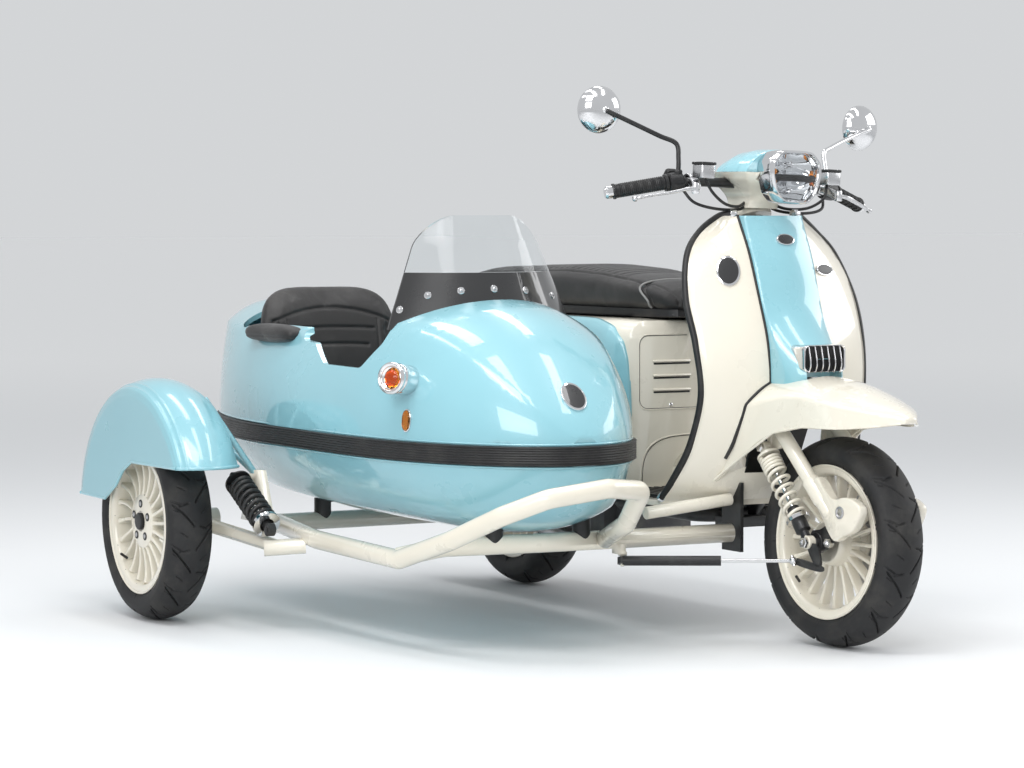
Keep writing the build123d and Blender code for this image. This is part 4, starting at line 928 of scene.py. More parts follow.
def long_seat():
    """Station sections (y, z): a rounded square scaled to the half width and height there, with its
    waist drawn in and the foot flat. The ends are closed by sections that shrink."""
    x = np.linspace(0, 1, 90)
    xs = np.interp(x, np.linspace(0, 1, len(SEAT_ROWS)), SEAT_ROWS[:, 0])
    half, top = at_rows(SEAT_ROWS, xs, 1, 2)
    ring = superoval(72, SEAT_SQUARE)
    end = np.minimum(1, 0.80 + 0.20 * np.sqrt(np.clip(np.minimum(xs - xs[0], xs[-1] - xs) / 26, 0, 1)))
    u = ring[None, :, 0] * (half * end)[:, None]
    lift = (ring[None, :, 1] + 1) / 2
    tuck = 1 - SEAT_TUCK * (1 - lift) ** 2
    crown = SEAT_CROWN * (1 - (ring[None, :, 0]) ** 2) * lift
    z = SEAT_LOW + lift * (top - SEAT_LOW - CROWN_START)[:, None] + crown
    return np.stack([xs[:, None] + 0 * u, u * tuck, z], axis=2)


def seat_seams(p):
    """Ribs across the top every 27 mm, a sewn line along each edge, and one across the top behind the nose."""
    x, y, z = p.T
    half, top = at_rows(SEAT_ROWS, x, 1, 2)
    on_top = step(z, top - 34, top - 20) * (1 - step(np.abs(y), half * 0.70, half * 0.76))
    rib = np.abs((x / 27) - np.round(x / 27)) * 27
    ribs = groove(rib, 4.0, 3.2) * on_top * step(x, -80, -60) * (1 - step(x, 640, 665))
    edge = np.abs(np.abs(y) - half * 0.80) * (z > top - 30) + 99 * (z <= top - 30)
    nose = np.abs(x - (NOSE_X + NOSE_RUN * np.clip((top - z) / 40, 0, 1)))
    return ribs + groove(edge, 2.6, 3.0) + groove(nose, 5.0, 4.2) * (z > 722)


seat = piece("scooter_seat", long_seat(), "vinyl", "seat", False, True, 60)
inflate(seat, 0.005)
press(seat, seat_seams)
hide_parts("seat_cushion")
print("long seat:", len(seat.data.polygons), "faces")

# %% Rubber foot and piping of the long seat


def seat_foot():
    """The plan of the seat as a closed line, 6 mm inside its foot, at a few heights: a rubber band
    that closes the gap between seat and body."""
    xs = np.linspace(SEAT_ROWS[0, 0] + 8, SEAT_ROWS[-1, 0] - 6, 80)
    half = np.interp(xs, SEAT_ROWS[:, 0], SEAT_ROWS[:, 1]) * 0.9 - 5
    loop = np.concatenate([np.stack([xs, half], 1), np.stack([xs, -half], 1)[::-1]])
    middle = loop.mean(axis=0)
    levels = ((0.02, 703.5), (0.985, 703.5), (0.995, 706), (0.99, 722), (0.02, 722))
    return np.stack([np.column_stack([middle + (loop - middle) * k, np.full(len(loop), z)]) for k, z in levels])


piece("seat_foot", seat_foot(), "rubber", "seat", False, True, 40)


def piping_line(count=121):
    """Across the seat just behind its nose: x runs forward from the crown down the side, then back
    again, and y, z follow the section of the seat there."""
    a = np.linspace(-1, 1, count)
    ring_a = math.pi / 2 - a * 2.05
    u = signed_power(np.cos(ring_a), SEAT_SQUARE)
    lift = (signed_power(np.sin(ring_a), SEAT_SQUARE) + 1) / 2
    x = NOSE_X + NOSE_RUN * np.clip((1 - lift) * 1.7, 0, 1)
    half, top = at_rows(SEAT_ROWS, x, 1, 2)
    y = u * half * (1 - SEAT_TUCK * (1 - lift) ** 2)
    z = SEAT_LOW + lift * (top - SEAT_LOW - CROWN_START) + SEAT_CROWN * (1 - u ** 2) * lift
    return np.stack([x, y * 1.02, z + 2.5 * lift], axis=1)


piece("seat_piping", along(piping_line(), circle(2.6, 10), AHEAD), "piping", "seat", False, True, 60)
print("rubber foot and piping added")

# %% [markdown]
# ## The sidecar's seat
# The passenger sits on a broad cushion against a wrapped back. The back has an arched upper roll,
# and below it a sewn panel with two lying grooves. Both are rounded slabs, so one function gives
# both: a rounded square whose thickness falls off towards its rim.

# %% The sidecar's cushion


def pad(centre, right, up, out, half_w, half_h, thick, power=0.5, dome=10.0, count=56):
    """A pillow on three axes. A polar grid (r, a) gives face points r * superoval(a), and the front
    and back sheets stand at the thickness t = T (1 - r^4)^(1/3) from the middle."""
    ring = superoval(count, power)
    r = np.sin(np.linspace(0, math.pi / 2, 22))
    t = (1 - r ** 4) ** (1 / 3)
    r = np.concatenate([r, r[-2::-1]])
    t = np.concatenate([t, -t[-2::-1]])
    u = r[:, None] * ring[None, :, 0] * half_w
    v = r[:, None] * ring[None, :, 1] * half_h
    w = t[:, None] * thick / 2 + dome * (1 - r[:, None] ** 2) * (t[:, None] > 0)
    right, up, out = (np.asarray(axis, float) for axis in (right, up, out))
    return np.asarray(centre, float) + u[..., None] * right + v[..., None] * up + w[..., None] * out


def cushion_seams(p):
    """A sewn line round the cushion 46 mm inside its rim, and two channels across it."""
    x, y, z = p.T
    inner = np.maximum(np.abs(x - 280) / 178, np.abs(y - CAR_Y) / 142)
    line = groove((inner - 1) * 150, 4.0, 4.0)
    across = groove(np.abs(np.abs(x - 280) - 70), 4.5, 3.5) * (np.abs(y - CAR_Y) < 140)
    return np.maximum(line, across) * (z > 400)


base = piece(
    "sidecar_cushion", pad((272, CAR_Y, 380), RIGHT, AHEAD, UP, 186, 220, 84, 0.42, 12), "vinyl", "chassis",
    False, True, 60)
inflate(base, 0.008)
press(base, cushion_seams)
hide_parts("sidecar_seat")
print("sidecar cushion:", len(base.data.polygons), "faces")

# %% The sidecar's back
BACK_HALF = 184
BACK_LEAN = np.array([-0.18, 0.0, 0.984])
BACK_OUT = np.array([0.984, 0.0, 0.18])


def back_pad():
    """The back: a pad whose middle leans back and whose wings wrap forward with the square of the
    distance from the middle."""
    grid = pad((64, CAR_Y, 602), RIGHT, BACK_LEAN, BACK_OUT, BACK_HALF, 172, 66, 0.50, 8, 72)
    side = (grid[..., 1] - CAR_Y) / BACK_HALF
    grid[..., 0] += 34 * side ** 2 - 4
    return grid


def back_seams(p):
    """An arch sewn under the top roll, two lying grooves in the middle panel and its two sides."""
    x, y, z = p.T
    u = (y - CAR_Y) / BACK_HALF
    front = step(x, 40, 60)
    arch = groove(z - (716 - 46 * u ** 2), 4.0, 4.5) * (np.abs(u) < 0.86)
    wings = groove((np.abs(u) - 0.80) * BACK_HALF, 4.0, 4.0) * (z < 690)
    upper = groove(z - (668 - 10 * u ** 2), 3.4, 4.0) * (np.abs(u) < 0.62)
    lower = groove(z - (628 - 14 * u ** 2), 3.4, 4.0) * (np.abs(u) < 0.52)
    ends = groove((np.abs(u) - 0.66) * BACK_HALF, 3.4, 3.5) * (z > 610) * (z < 690)
    return np.maximum.reduce([arch, wings, upper, lower, ends]) * front


back = piece("sidecar_back_pad", back_pad(), "vinyl", "chassis", False, True, 60)
inflate(back, 0.007)
press(back, back_seams)
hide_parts("sidecar_backrest")
print("sidecar back:", len(back.data.polygons), "faces")

# %% Armrests
rests = Group("chassis")
for side in SIDES:
    middle = (285, CAR_Y + side * 242, 663)
    rests.add("armrest", pad(middle, RIGHT, AHEAD, UP, 29, 125, 36, 0.42, 5, 48), "vinyl", 60)
arms = rests.join("armrest_pads")
inflate(arms, 0.003, 0.004)
press(arms, lambda p: groove(p[:, 2] - 658, 1.8, 1.4))
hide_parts("armrests")
print("armrests:", len(arms.data.polygons), "faces")

# %% [markdown]
# ## Headset and lamp
# The handlebar is wrapped in a painted casing: ivory below, and a blue cap that sweeps down to the
# lamp. The lamp itself is a straight-sided chrome frame round two bright reflectors, with a dark bar
# between them and a clear front. The cap is a grid whose sections shrink towards the crest.

# %% Blue cap of the headset


def headset_cap():
    """Sections across the machine from the back to the lamp: each is an arch (y, z) with
    z = foot + height (1 - |y / half|^p), and half, height and foot follow the length."""
    rows = np.array([
        # x, half width, foot z, crest z
        (992.0, 60.0, 1036.0, 1040.0), (1000.0, 84.0, 1034.6, 1054.0), (1020.0, 97.0, 1034.6, 1072.0),
        (1050.0, 101.0, 1034.6, 1085.0), (1090.0, 101.0, 1034.6, 1089.0), (1120.0, 99.0, 1034.6, 1088.0),
        (1133.0, 98.0, 1034.6, 1087.5), (1138.0, 96.0, 1034.6, 1086.0)])
    s = np.linspace(0, 1, 48)
    x, half, foot, crest = (np.interp(s, np.linspace(0, 1, len(rows)), rows[:, i]) for i in range(4))
    t = np.linspace(-1, 1, 57)
    t = signed_power(t, 0.8)
    arch = (1 - np.abs(t) ** 2.6) ** 0.72
    y = half[:, None] * t
    z = foot[:, None] + (crest - foot)[:, None] * arch
    under = np.full_like(z, 1.0) * foot[:, None]
    x = x[:, None] - 10 * (1 - arch) * (x[:, None] > 1100)
    top = np.stack([x + 0 * y, y, z], axis=2)
    base = np.stack([x + 0 * y, y, under], axis=2)[:, ::-1]
    return np.concatenate([top, base[:, 1:-1]], axis=1)


cap = piece("headset_cap", headset_cap(), "blue_paint", "steering", False, True, 40)
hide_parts("headset_cover")
print("headset cap:", len(cap.data.polygons), "faces")

# %% [markdown]
# ## The lamp
# Its frame is one straight-sided outline carried through a few sizes and depths: out round the
# casing, over a soft lip, and back inside to the reflector. Each reflector is half a bowl as wide
# as the frame lets it be, whose depth is a parabola in height and in width.

# %% Lamp frame
LAMP_X, LAMP_Z = 1132.0, 1026.0
LAMP_OUTLINE = np.array(
    [(-46, 60), (-71, 34), (-73, 8), (-60, -38), (-36, -60), (36, -60), (60, -38), (73, 8), (71, 34), (46, 60)],
    float)


def softened(outline, per_edge=9, pull=0.16):
    """An outline with its corners eased: points spread along each edge, then pulled towards the
    average of their neighbours a few times."""
    closed = np.vstack([outline, outline[:1]])
    t = np.linspace(0, 1, per_edge, endpoint=False)[:, None]
    points = np.vstack([closed[i] * (1 - t) + closed[i + 1] * t for i in range(len(outline))])
    for _ in range(8):
        points = (1 - 2 * pull) * points + pull * (np.roll(points, 1, 0) + np.roll(points, -1, 0))
    return points


def frame_levels(outline, levels, middle=(LAMP_X, 0.0, LAMP_Z)):
    """The outline at several (size, forward) levels: middle + size (y, z) outline + forward x."""
    mx, my, mz = middle
    return np.stack([
        np.stack([np.full(len(outline), mx + d), my + k * outline[:, 0], mz + k * outline[:, 1]], 1) for k,
        d in levels])


eight = softened(LAMP_OUTLINE)
lamp_bits = Group("steering")
lamp_bits.add(
    "frame",
    frame_levels(
        eight,
        [
            (0.90, 2), (0.97, 4), (0.995, 20), (1.0, 44), (0.985, 54), (0.95, 58.5), (0.90, 58), (0.86, 53),
            (0.84, 48)]),
    "chrome", 40, True)
print("lamp frame added")

# %% Reflectors, bulbs and glass


def reflector(z_low, z_high):
    """Half a bowl: over y in [-1, 1] and height h in [0, 1] the depth is
    34 (1 - (2 h - 1)^2) (1 - 0.75 y^2) + 3, so that it is deepest behind the bulb."""
    y = np.linspace(-1, 1, 33)[None, :]
    h = np.linspace(0, 1, 17)[:, None]
    z = z_low + (z_high - z_low) * h
    span = np.interp(z, [966, 988, 1034, 1060, 1086], [34, 51, 61, 59, 40])
    deep = 34 * (1 - (2 * h - 1) ** 2) * (1 - 0.75 * y ** 2) + 3
    return np.stack([LAMP_X + 44 - deep, span * y, z + 0 * y], axis=2)


for low, high in ((972.0, 1018.0), (1030.0, 1078.0)):
    lamp_bits.add("bowl", reflector(low, high), "mirror", 60, False, False)
lamp_bits.plate("bar", "black_paint", 30, rounded(60, 7.5, 5), (LAMP_X + 30, 0, 1024), AHEAD, UP, 16, 2)
for z in (996.0, 1053.0):
    lamp_bits.turned(
        "bulb", [(0, 0), (8, 0), (8, 10), (6.5, 14), (7.5, 17), (4, 22), (0, 23)], (LAMP_X + 14, 0, z), AHEAD,
        "chrome", 24)
for side in SIDES:
    lamp_bits.plate(
        "strip", "amber_lens", 30, rounded(4, 17, 3), (LAMP_X + 40, side * 52, 1026), AHEAD, UP, 5, 1)
for depth, size in ((6.0, 0.84), (2.0, 0.90)):
    lamp_bits.add(
        "case", frame_levels(eight, [(0.02, depth - 4), (size, depth - 4), (size, depth), (0.02, depth)]),
        "black_plastic", 40)
lamp_bits.add("sleeve", frame_levels(eight, [(0.88, 2), (0.88, 50), (0.85, 50), (0.85, 2)]), "mirror", 40, True)
lamp_bits.join("headlamp_unit", "headlamp")
glass = piece(
    "headlamp_glass",
    frame_levels(
        eight,
        [
            (0.0, 57.5), (0.3, 57.2), (0.6, 56), (0.8, 53.5), (0.86, 51), (0.86, 49), (0.8, 51.3), (0.6, 53.8),
            (0.3, 55), (0.0, 55.3)]),
    "lamp_glass", "steering", False, True, 50)
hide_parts("headlamp_lens")
neck = Group("chassis")
neck.turned(
    "collar", [(30, 0), (47, 1), (49, 5), (47, 22), (44, 30), (30, 31)], steering_axis_at(930), STEER_UP,
    "cream_paint", 64)
neck.join("headset_collar")
print("lamp made")

# %% [markdown]
# ## Horn grille
# Under the blue panel, right above the mudguard, a chrome mouth with upright bars lets the horn be
# heard. Its frame is a rounded rectangle carried forward. Each bar has a kink at a third of its
# height, so that the mouth is fuller near its foot.

# %% Horn grille
GRILLE = (1309.0, 0.0, 627.0)
mouth = rounded(56.0, 30.0, 12.0, 8)
grille_bits = Group("chassis")
grille_bits.add(
    "mouth",
    frame_levels(
        mouth,
        [(0.90, -46), (0.99, -46), (1.0, -44), (1.0, 12), (0.985, 16), (0.95, 17.5), (0.91, 16), (0.90, 12)],
        GRILLE),
    "chrome", 40, True)
grille_bits.add(
    "dark", frame_levels(mouth, [(0.02, 5), (0.93, 5), (0.93, 9), (0.02, 9)], GRILLE), "black_plastic", 40)
for y in np.linspace(-41, 41, 6):
    bar = np.array([
        (8.0, y, 28.5), (12.0, y, 12.0), (17.0, y, -8.0), (16.0, y, -18.0), (11.0, y, -28.5)]) + GRILLE
    grille_bits.swept("bar", "chrome", 40, smooth_path(bar, 24), rounded(1.7, 5.5, 1.2, 3), AHEAD)
grille_bits.join("horn_mouth", "horn_grille")

# %% [markdown]
# ## Fork
# Each leg is a raked tube that enters a rounded casting. The casting carries the pin that the
# wheel's link swings on. Near the top a plate holds the spring unit's upper bolt.

# %% Fork legs
FOOT_PLATE = np.array(
    [
        (1383, 352), (1396, 329), (1423, 297), (1449, 261), (1469, 239), (1483, 238), (1497, 249), (1515, 255),
        (1535, 264), (1548, 284), (1558, 304), (1557, 318), (1537, 330), (1516, 336), (1495, 335), (1475, 328),
        (1458, 331), (1436, 350), (1418, 370), (1404, 376)],
    float)
plate_mid = np.array([1478.0, 296.0])
casting = softened((FOOT_PLATE - plate_mid) * [-1, 1], 5, 0.16)
fork_bits = Group("steering")
fork_bits.turned("stem", [(0, 0), (15, 0), (15, 430), (0, 430)], steering_axis_at(545), STEER_UP, "steel", 40)
for side in SIDES:
    leg = [
        (1209.5, 0, 551), (1209.5, side * 30, 549), (1211, side * 62, 538), (1219, side * 80, 514),
        (1238, side * 84, 492.0), (1270, side * 84, 463.0), (1320, side * 84, 417.0), (1380, side * 84, 359.5),
        (1420, side * 84, 321.0), (1446, side * 84, 296.0)]
    fork_bits.tube("leg", leg, 17.0, "cream_paint", 90, 32, (0.6, 0, 0.8))
    axis = (103, 0, -98)
    fork_bits.turned(
        "sleeve", [(16, 0), (19.5, 2), (20.5, 8), (20.5, 60), (16, 72)], (1376, side * 84, 363.5), axis,
        "cream_paint", 40)
    fork_bits.plate(
        "casting", "cream_paint", 50, casting, (plate_mid[0], side * 84 - 12, plate_mid[1]), LEFT, UP, 24, 5)
    ear = softened(np.array([(-28, 26), (22, 30), (40, -22), (-6, -34)], float), 6, 0.2)
    fork_bits.plate("ear", "cream_paint", 40, ear, (1262, side * 76 - 4, 452), LEFT, UP, 8, 2)
    strut = [(1237, side * 76, 492), (1228, side * 76, 460), (1226, side * 76, 426)]
    fork_bits.tube("strut", strut, 9.0, "cream_paint", 24, 20, AHEAD)
    fork_bits.turned(
        "upper_bolt", [(0, 0), (6, 0), (6, 30), (11, 30), (11, 36), (8, 38), (0, 38)], (1226, side * 74, 426),
        (0, side, 0), "chrome", 6, 20)
    fork_bits.turned(
        "pin", [(0, -26), (9, -26), (9, 11), (13.5, 11), (13.5, 13.5), (10, 15), (8, 12), (0, 12)],
        (1492, side * 84, 302), (0, side, 0), "steel", 36)
fork_bits.join("fork_legs", "front_fork")

# %% Links and their fittings
link = softened(np.array([(-24, 8), (-16, 26), (8, 24), (112, 92), (130, 78), (122, 58), (90, 26), (26, -16),
                          (2, -26), (-18, -18)], float), 7, 0.2)
link_bits = Group("steering")
link_bits.turned("axle", [(0, -106), (9, -106), (9, 106), (0, 106)], FRONT_HUB, LEFT, "steel", 32)
for side in SIDES:
    arm_mid = np.array([48.0, 34.0])
    arm = (link - arm_mid) * [-1, 1]
    link_bits.plate(
        "arm", "black_paint", 40, arm, (1390 + arm_mid[0], side * 68 - 6, 229.4 + arm_mid[1]), LEFT, UP, 12, 3)
    for centre in ((1390, side * 68, 229.4), (1493, side * 68, 303)):
        link_bits.turned(
            "boss", [(10, -8), (20, -8), (21.5, -6), (21.5, 6), (20, 8), (10, 8)], centre, LEFT, "black_paint",
            40)
    link_bits.bolt("nut", (1390, side * 104, 229.4), (0, side, 0), 22.0, 9.0, "chrome")
    link_bits.bolt("side_bolt", (1440, side * 74, 232), (0, side, 0), 20.0, 12.0, "chrome")
for outline, middle, depth in (
        (((-22, 26), (16, 26), (30, -18), (22, -26), (8, -24), (-16, 8)), (1408, 203), 7),
        (((-52, 8), (-52, -4), (40, -14), (50, -8), (48, 2), (-46, 12)), (1396, 181), 6)):
    lug = softened(np.array(outline, float) * [-1, 1], 6, 0.2)
    link_bits.plate("lug", "black_paint", 40, lug, (middle[0], -98, middle[1]), LEFT, UP, depth, 1.5)
link_bits.join("wheel_links", "fork_links")

# %% [markdown]
# ## Sidecar mudguard
# A deep guard wraps over the wheel: a crown that is an arc from side to side, two raised lines at
# its shoulder, and a flat outer face that is cut along a stepped line. Rows go round the axle and
# columns go across the crown and down the face to that line. A bead stiffens the whole edge.

# %% Sidecar mudguard
HUB = np.array([211.0, -1105.0, 229.4])
CROWN_R, CROWN_ARC, FACE_R = 333, 118.7, 301.0
FRONT_DROP, REAR_DROP = 142.0, 45.5  # heights of the guard's ends over the axle
CUT = np.array([(-200, 276), (60, 273), (128, 309), (173, 348), (221, 370), (600, 372)], float)


def crown_radius(y):
    """Distance of the crown from the axle: largest amidships, an arc down to both sides, and two
    raised lines near the outer shoulder."""
    lines = np.exp(-((y + 55) / 3.0) ** 2) + np.exp(-((y + 68) / 3.0) ** 2)
    return CROWN_R - CROWN_ARC + np.sqrt(CROWN_ARC ** 2 - y ** 2) + 2.4 * lines


def guard_rows(inset):
    """Half of the guard's section, the outer or the inner wall: angles run from the front edge to
    the back one, and on the face the radius runs in to the cut line."""
    y = np.concatenate([np.linspace(79, -40, 22), np.linspace(-42, -73, 28)])
    r = crown_radius(y) - inset
    start = np.arcsin(FRONT_DROP / r)
    end = math.pi - np.arcsin(REAR_DROP / r)
    t = np.linspace(0, 1, 170)[:, None]
    a = start + (end - start) * t
    crown = np.stack([HUB[0] + r * np.cos(a), HUB[1] + y + 0 * a, HUB[2] + r * np.sin(a)], axis=2)
    edge_r = FACE_R - inset
    b = math.asin(FRONT_DROP / edge_r)
    b = b + (math.pi - math.asin(REAR_DROP / edge_r) - b) * t
    reach = np.linspace(110, edge_r, 800)[None, :]
    above = HUB[2] + reach * np.sin(b) > np.interp(HUB[0] + reach * np.cos(b), CUT[:, 0], CUT[:, 1])
    inner = reach[0, np.argmax(above, axis=1)][:, None]
    k = np.linspace(0, 1, 16)[None, :] ** 1.3
    face_r = edge_r + (inner - edge_r) * k
    face_y = HUB[1] - 76 + inset * 0.8 + 3.0 * np.exp(-(edge_r - face_r) / 3.0) + 0 * face_r
    face = np.stack([HUB[0] + face_r * np.cos(b), face_y, HUB[2] + face_r * np.sin(b)], axis=2)
    return np.concatenate([crown, face], axis=1)

# %% Walls, beads and stays of the guard
outer_wall, inner_wall = guard_rows(0.0), guard_rows(3.5)
guard_bits = Group("chassis")
guard_bits.add("wall", np.concatenate([outer_wall, inner_wall[:, ::-1]], axis=1), "blue_paint", 45)
cut_edge = outer_wall[:, -1] + [0, 1.5, 0]
guard_bits.swept("bead", "blue_paint", 60, cut_edge, circle(4.2, 12), LEFT)
for row in (0, -1):
    guard_bits.swept("bead", "blue_paint", 60, outer_wall[row, :50], circle(4.0, 12), (1, 0, 0.3))
for low, high in (((370, -930, 338), (300, -1028, 515)), ((360, -930, 344), (120, -1028, 514))):
    guard_bits.tube("stay", [low, high], 7.5, "blue_paint", 8, 20, AHEAD)
guard_bits.join("wheel_guard", "sidecar_mudguard")

# %% [markdown]
# ## Windscreen
# A clear acrylic pane is bent round the cockpit's front. Its foot spreads into wings and its upper
# corners are round. The lowest part is black. Each level of the pane is an arc whose half width
# and bow follow the height, and a corner of radius R takes R - sqrt(R^2 - h^2) off the width.

# %% Windscreen
PANE_LEVELS = np.array([
    (688.0, 969.0, 232.0, 122.0), (715.0, 962.0, 224.0, 116.0), (760.0, 948.0, 206.0, 106.0),
    (815.0, 930.0, 184.0, 95.0), (880.0, 901.0, 158.0, 74.0), (941.0, 872.0, 128.0, 52.0)])
PANE_CORNER, PANE_FOOT, BAND_TOP, PANE_TOP, PANE_THICK = 74.0, 690.0, 815.0, 941.0, 4.5


def pane(low, high, rows, thick):
    """Both faces of a stretch of the pane, from one height to another."""
    z = np.linspace(low, high, rows)
    if high == PANE_TOP:  # levels crowd towards the round corners
        z = low + (high - low) * np.sin(np.linspace(0, math.pi / 2, rows))
    mid, half, bow = (column[:, None] for column in at_rows(PANE_LEVELS, z, 1, 2, 3))
    near_top = np.clip(z - (PANE_TOP - PANE_CORNER), 0, PANE_CORNER - 0.2)[:, None]
    width = half - (PANE_CORNER - np.sqrt(PANE_CORNER ** 2 - near_top ** 2)) * 0.85
    u = np.sin(np.linspace(-math.pi / 2, math.pi / 2, 61))[None, :]
    y = width * u
    r = (half ** 2 + bow ** 2) / (2 * bow)
    x = mid - r + np.sqrt(r ** 2 - y ** 2)
    face = np.stack([x, CAR_Y + y, z[:, None] + 0 * y], axis=2)
    back = face - [thick, 0, 0]
    return np.concatenate([face, back[:, ::-1]], axis=1)


clear_pane = piece(
    "clear_pane", pane(BAND_TOP + 0.2, PANE_TOP, 40, PANE_THICK), "clear_acrylic", "chassis", False, True, 30)
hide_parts("windscreen")
black_pane = piece(
    "black_pane", pane(PANE_FOOT, BAND_TOP, 24, PANE_THICK), "dark_acrylic", "chassis", False, True, 30)
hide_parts("windscreen_band")
print("windscreen:", len(clear_pane.data.polygons) + len(black_pane.data.polygons), "faces")

# %% [markdown]
# ## Controls
# Each end of the bar carries a ribbed rubber grip with a chrome end weight, a switch pod, a brake
# lever with a ball end, and on its own bracket a fluid reservoir. All of them follow the bent bar,
# so the bar's path comes first, and the rest is placed by distance along it.

# %% Middle line of the bar


def bar_path(side):
    """The bar's middle line on one side, in millimetres, from the casing to the grip's end."""
    corners = [
        (1040, side * 60, 1010), (1040, side * 150, 1010), (1034, side * 205, 1008), (1030, side * 236, 1005),
        (1006, side * 295, 992), (982, side * 355, 979)]
    return smooth_path(corners, 90)


print("half the bar:", len(bar_path(1)), "points")

# %% Grips, levers and tanks
bar_bits = Group("steering")
lever_bits = Group("steering")
for side in SIDES:
    path = bar_path(side)
    bar_bits.swept("bar", "black_paint", 60, path, circle(11, 20))
    inner, outer = np.array([1029, side * 240, 1004.5]), np.array([982, side * 355, 979])
    reach = outer - inner
    length = np.linalg.norm(reach)
    d = np.linspace(0, length, 90)
    ribs = 15.6 + 0.8 * np.cos(2 * math.pi * d / 4.6) * (d > 14) * (d < length - 12)
    ribs = np.where(d < 8, 19.0, np.where(d > length - 5, 17.5, ribs))
    bar_bits.turned("grip", np.stack([ribs, d], 1).tolist() + [(0, length), (0, 0)], inner, reach, "rubber", 40)
    bar_bits.turned(
        "weight", [(0, 0), (9, 0), (9, 3), (13, 5), (14, 9), (14, 20), (11, 25), (0, 26)],
        outer - reach / length * 6, reach, "chrome", 36)
    pod = np.array([1030.0, side * 222, 1006])
    bar_bits.turned(
        "pod", [(0, -19), (17, -19), (21, -16), (22, 0), (21, 15), (17, 18), (0, 18)], pod, (-0.16, side, -0.1),
        "black_plastic", 36)
    bar_bits.plate(
        "switches", "black_plastic", 30, rounded(15, 15, 6), (1018, side * 222, 1018), (-0.8, 0, 0.6), UP, 12,
        2.5)
    bar_bits.domed("button", (1008, side * 228, 1025), (-0.8, 0, 0.6), 5, 2.5, "steel", 20)
    lever = [
        (1086, side * 206, 994), (1090, side * 232, 990), (1080, side * 262, 982), (1062, side * 300, 974),
        (1044, side * 336, 965)]
    blade = smooth_path(lever, 60)
    size = np.interp(np.linspace(0, 1, 60), [0, 0.15, 0.6, 0.9, 0.95, 1], [1.4, 1.15, 0.9, 0.75, 0.9, 0.6])
    lever_bits.swept("blade", "bare_aluminium", 40, blade, rounded(6.5, 3.6, 3.0, 4), UP, size)
    lever_bits.turned(
        "ball",
        np.stack(
            [7 * np.sin(np.linspace(0, math.pi, 12)), -7 * np.cos(np.linspace(0, math.pi, 12))], 1).tolist(),
        (1043, side * 338, 964.5), UP, "bare_aluminium", 24)
    lever_bits.turned(
        "pivot", [(0, -12), (8, -12), (9, -10), (9, 10), (8, 12), (0, 12)], (1088, side * 206, 993), UP,
        "chrome", 24)
    mount = [(1040, side * 186, 1010), (1062, side * 190, 1006), (1086, side * 202, 994)]
    lever_bits.swept("perch", "bare_aluminium", 40, smooth_path(mount, 20), rounded(10, 9, 4, 5), UP)
    lever_bits.turned(
        "clamp", [(11.5, -10), (16, -10), (17, -8), (17, 8), (16, 10), (11.5, 10)], (1040, side * 186, 1010),
        LEFT, "bare_aluminium", 32)
    tank = (1084, side * 181, 1016)
    lever_bits.plate("tank", "bare_aluminium", 30, rounded(20, 20, 7), tank, UP, AHEAD, 30, 3)
    lever_bits.plate(
        "lid", "black_plastic", 30, rounded(21.5, 21.5, 7), (tank[0], tank[1], 1046), UP, AHEAD, 6, 1.5)
    for dx, dy in ((-14, -14), (14, 14)):
        lever_bits.domed("screw", (tank[0] + dx, tank[1] + dy, 1052), UP, 2.6, 1.0, "chrome", 16)
bar_bits.join("handlebar_ends", "handlebar")
lever_bits.join("brake_levers", "levers")
hoses = [
    [(1084, -176, 1014), (1092, -160, 985), (1086, -120, 962), (1070, -70, 958), (1050, -30, 972)],
    [(1082, 176, 1014), (1092, 160, 985), (1086, 120, 962), (1070, 70, 958), (1050, 30, 972)],
    [(1036, -204, 992), (1060, -186, 962), (1070, -130, 950), (1062, -60, 952), (1044, -26, 966)],
    [(1036, 204, 992), (1056, 184, 962), (1068, 126, 950), (1060, 60, 952), (1044, 26, 966)],]
hose_group = Group("steering")
for path in hoses:
    hose_group.tube("hose", path, 3.4, "rubber", 48, 12)
hose_group.join("brake_hoses")
print("controls made")

# %% [markdown]
# ## Mirrors
# A round mirror hangs on a bent stalk. From the front its chrome shell shows, a dome with a rim
# bead, and the rider sees the glass. The shell is turned about the mirror's own axis.

# %% Mirrors
mirror_bits = Group("steering")
for side in SIDES:
    mid = np.array([952.0, side * 378, 1160])
    face = np.array([-1.0, side * -0.12, 0.05])
    face /= np.linalg.norm(face)
    r = 52.5
    bowl = [
        (0, 29), (14, 28.4), (26, 25.5), (36, 21), (44, 14.5), (49.5, 7), (r, 0), (r, -7), (r - 1.4, -9),
        (r - 4, -9), (r - 4, -6), (0, -6)]
    mirror_bits.turned("shell", bowl, mid - face * 1, -face, "chrome", 72, 40)
    mirror_bits.turned(
        "glass", [(0, 0), (r - 4.5, 0), (r - 4.5, 1.2), (0, 1.2)], mid + face * 6.4, face, "mirror", 72)
    back = mid - face * 27
    stalk = [
        (1036, side * 216, 1024), (1030, side * 212, 1058), (1022, side * 214, 1092), (1006, side * 250, 1108),
        (np.array(back) * 0.5 + np.array([1006, side * 250, 1108]) * 0.5).tolist(),
        (back + [6, 0, -2]).tolist()]
    stalk_slot = "black_paint" if side < 0 else "chrome"
    mirror_bits.tube("stalk", stalk, 5.4, stalk_slot, 70, 16, AHEAD)
    mirror_bits.turned(
        "foot", [(0, 0), (10, 0), (10, 12), (8, 16), (0, 16)], (1036, side * 216, 1018), UP,
        "black_plastic" if side < 0 else "chrome", 6, 20)
    mirror_bits.domed("boss", back + face * 4, -face, 13, 10, "chrome", 32)
mirror_bits.join("mirrors_made", "mirrors")

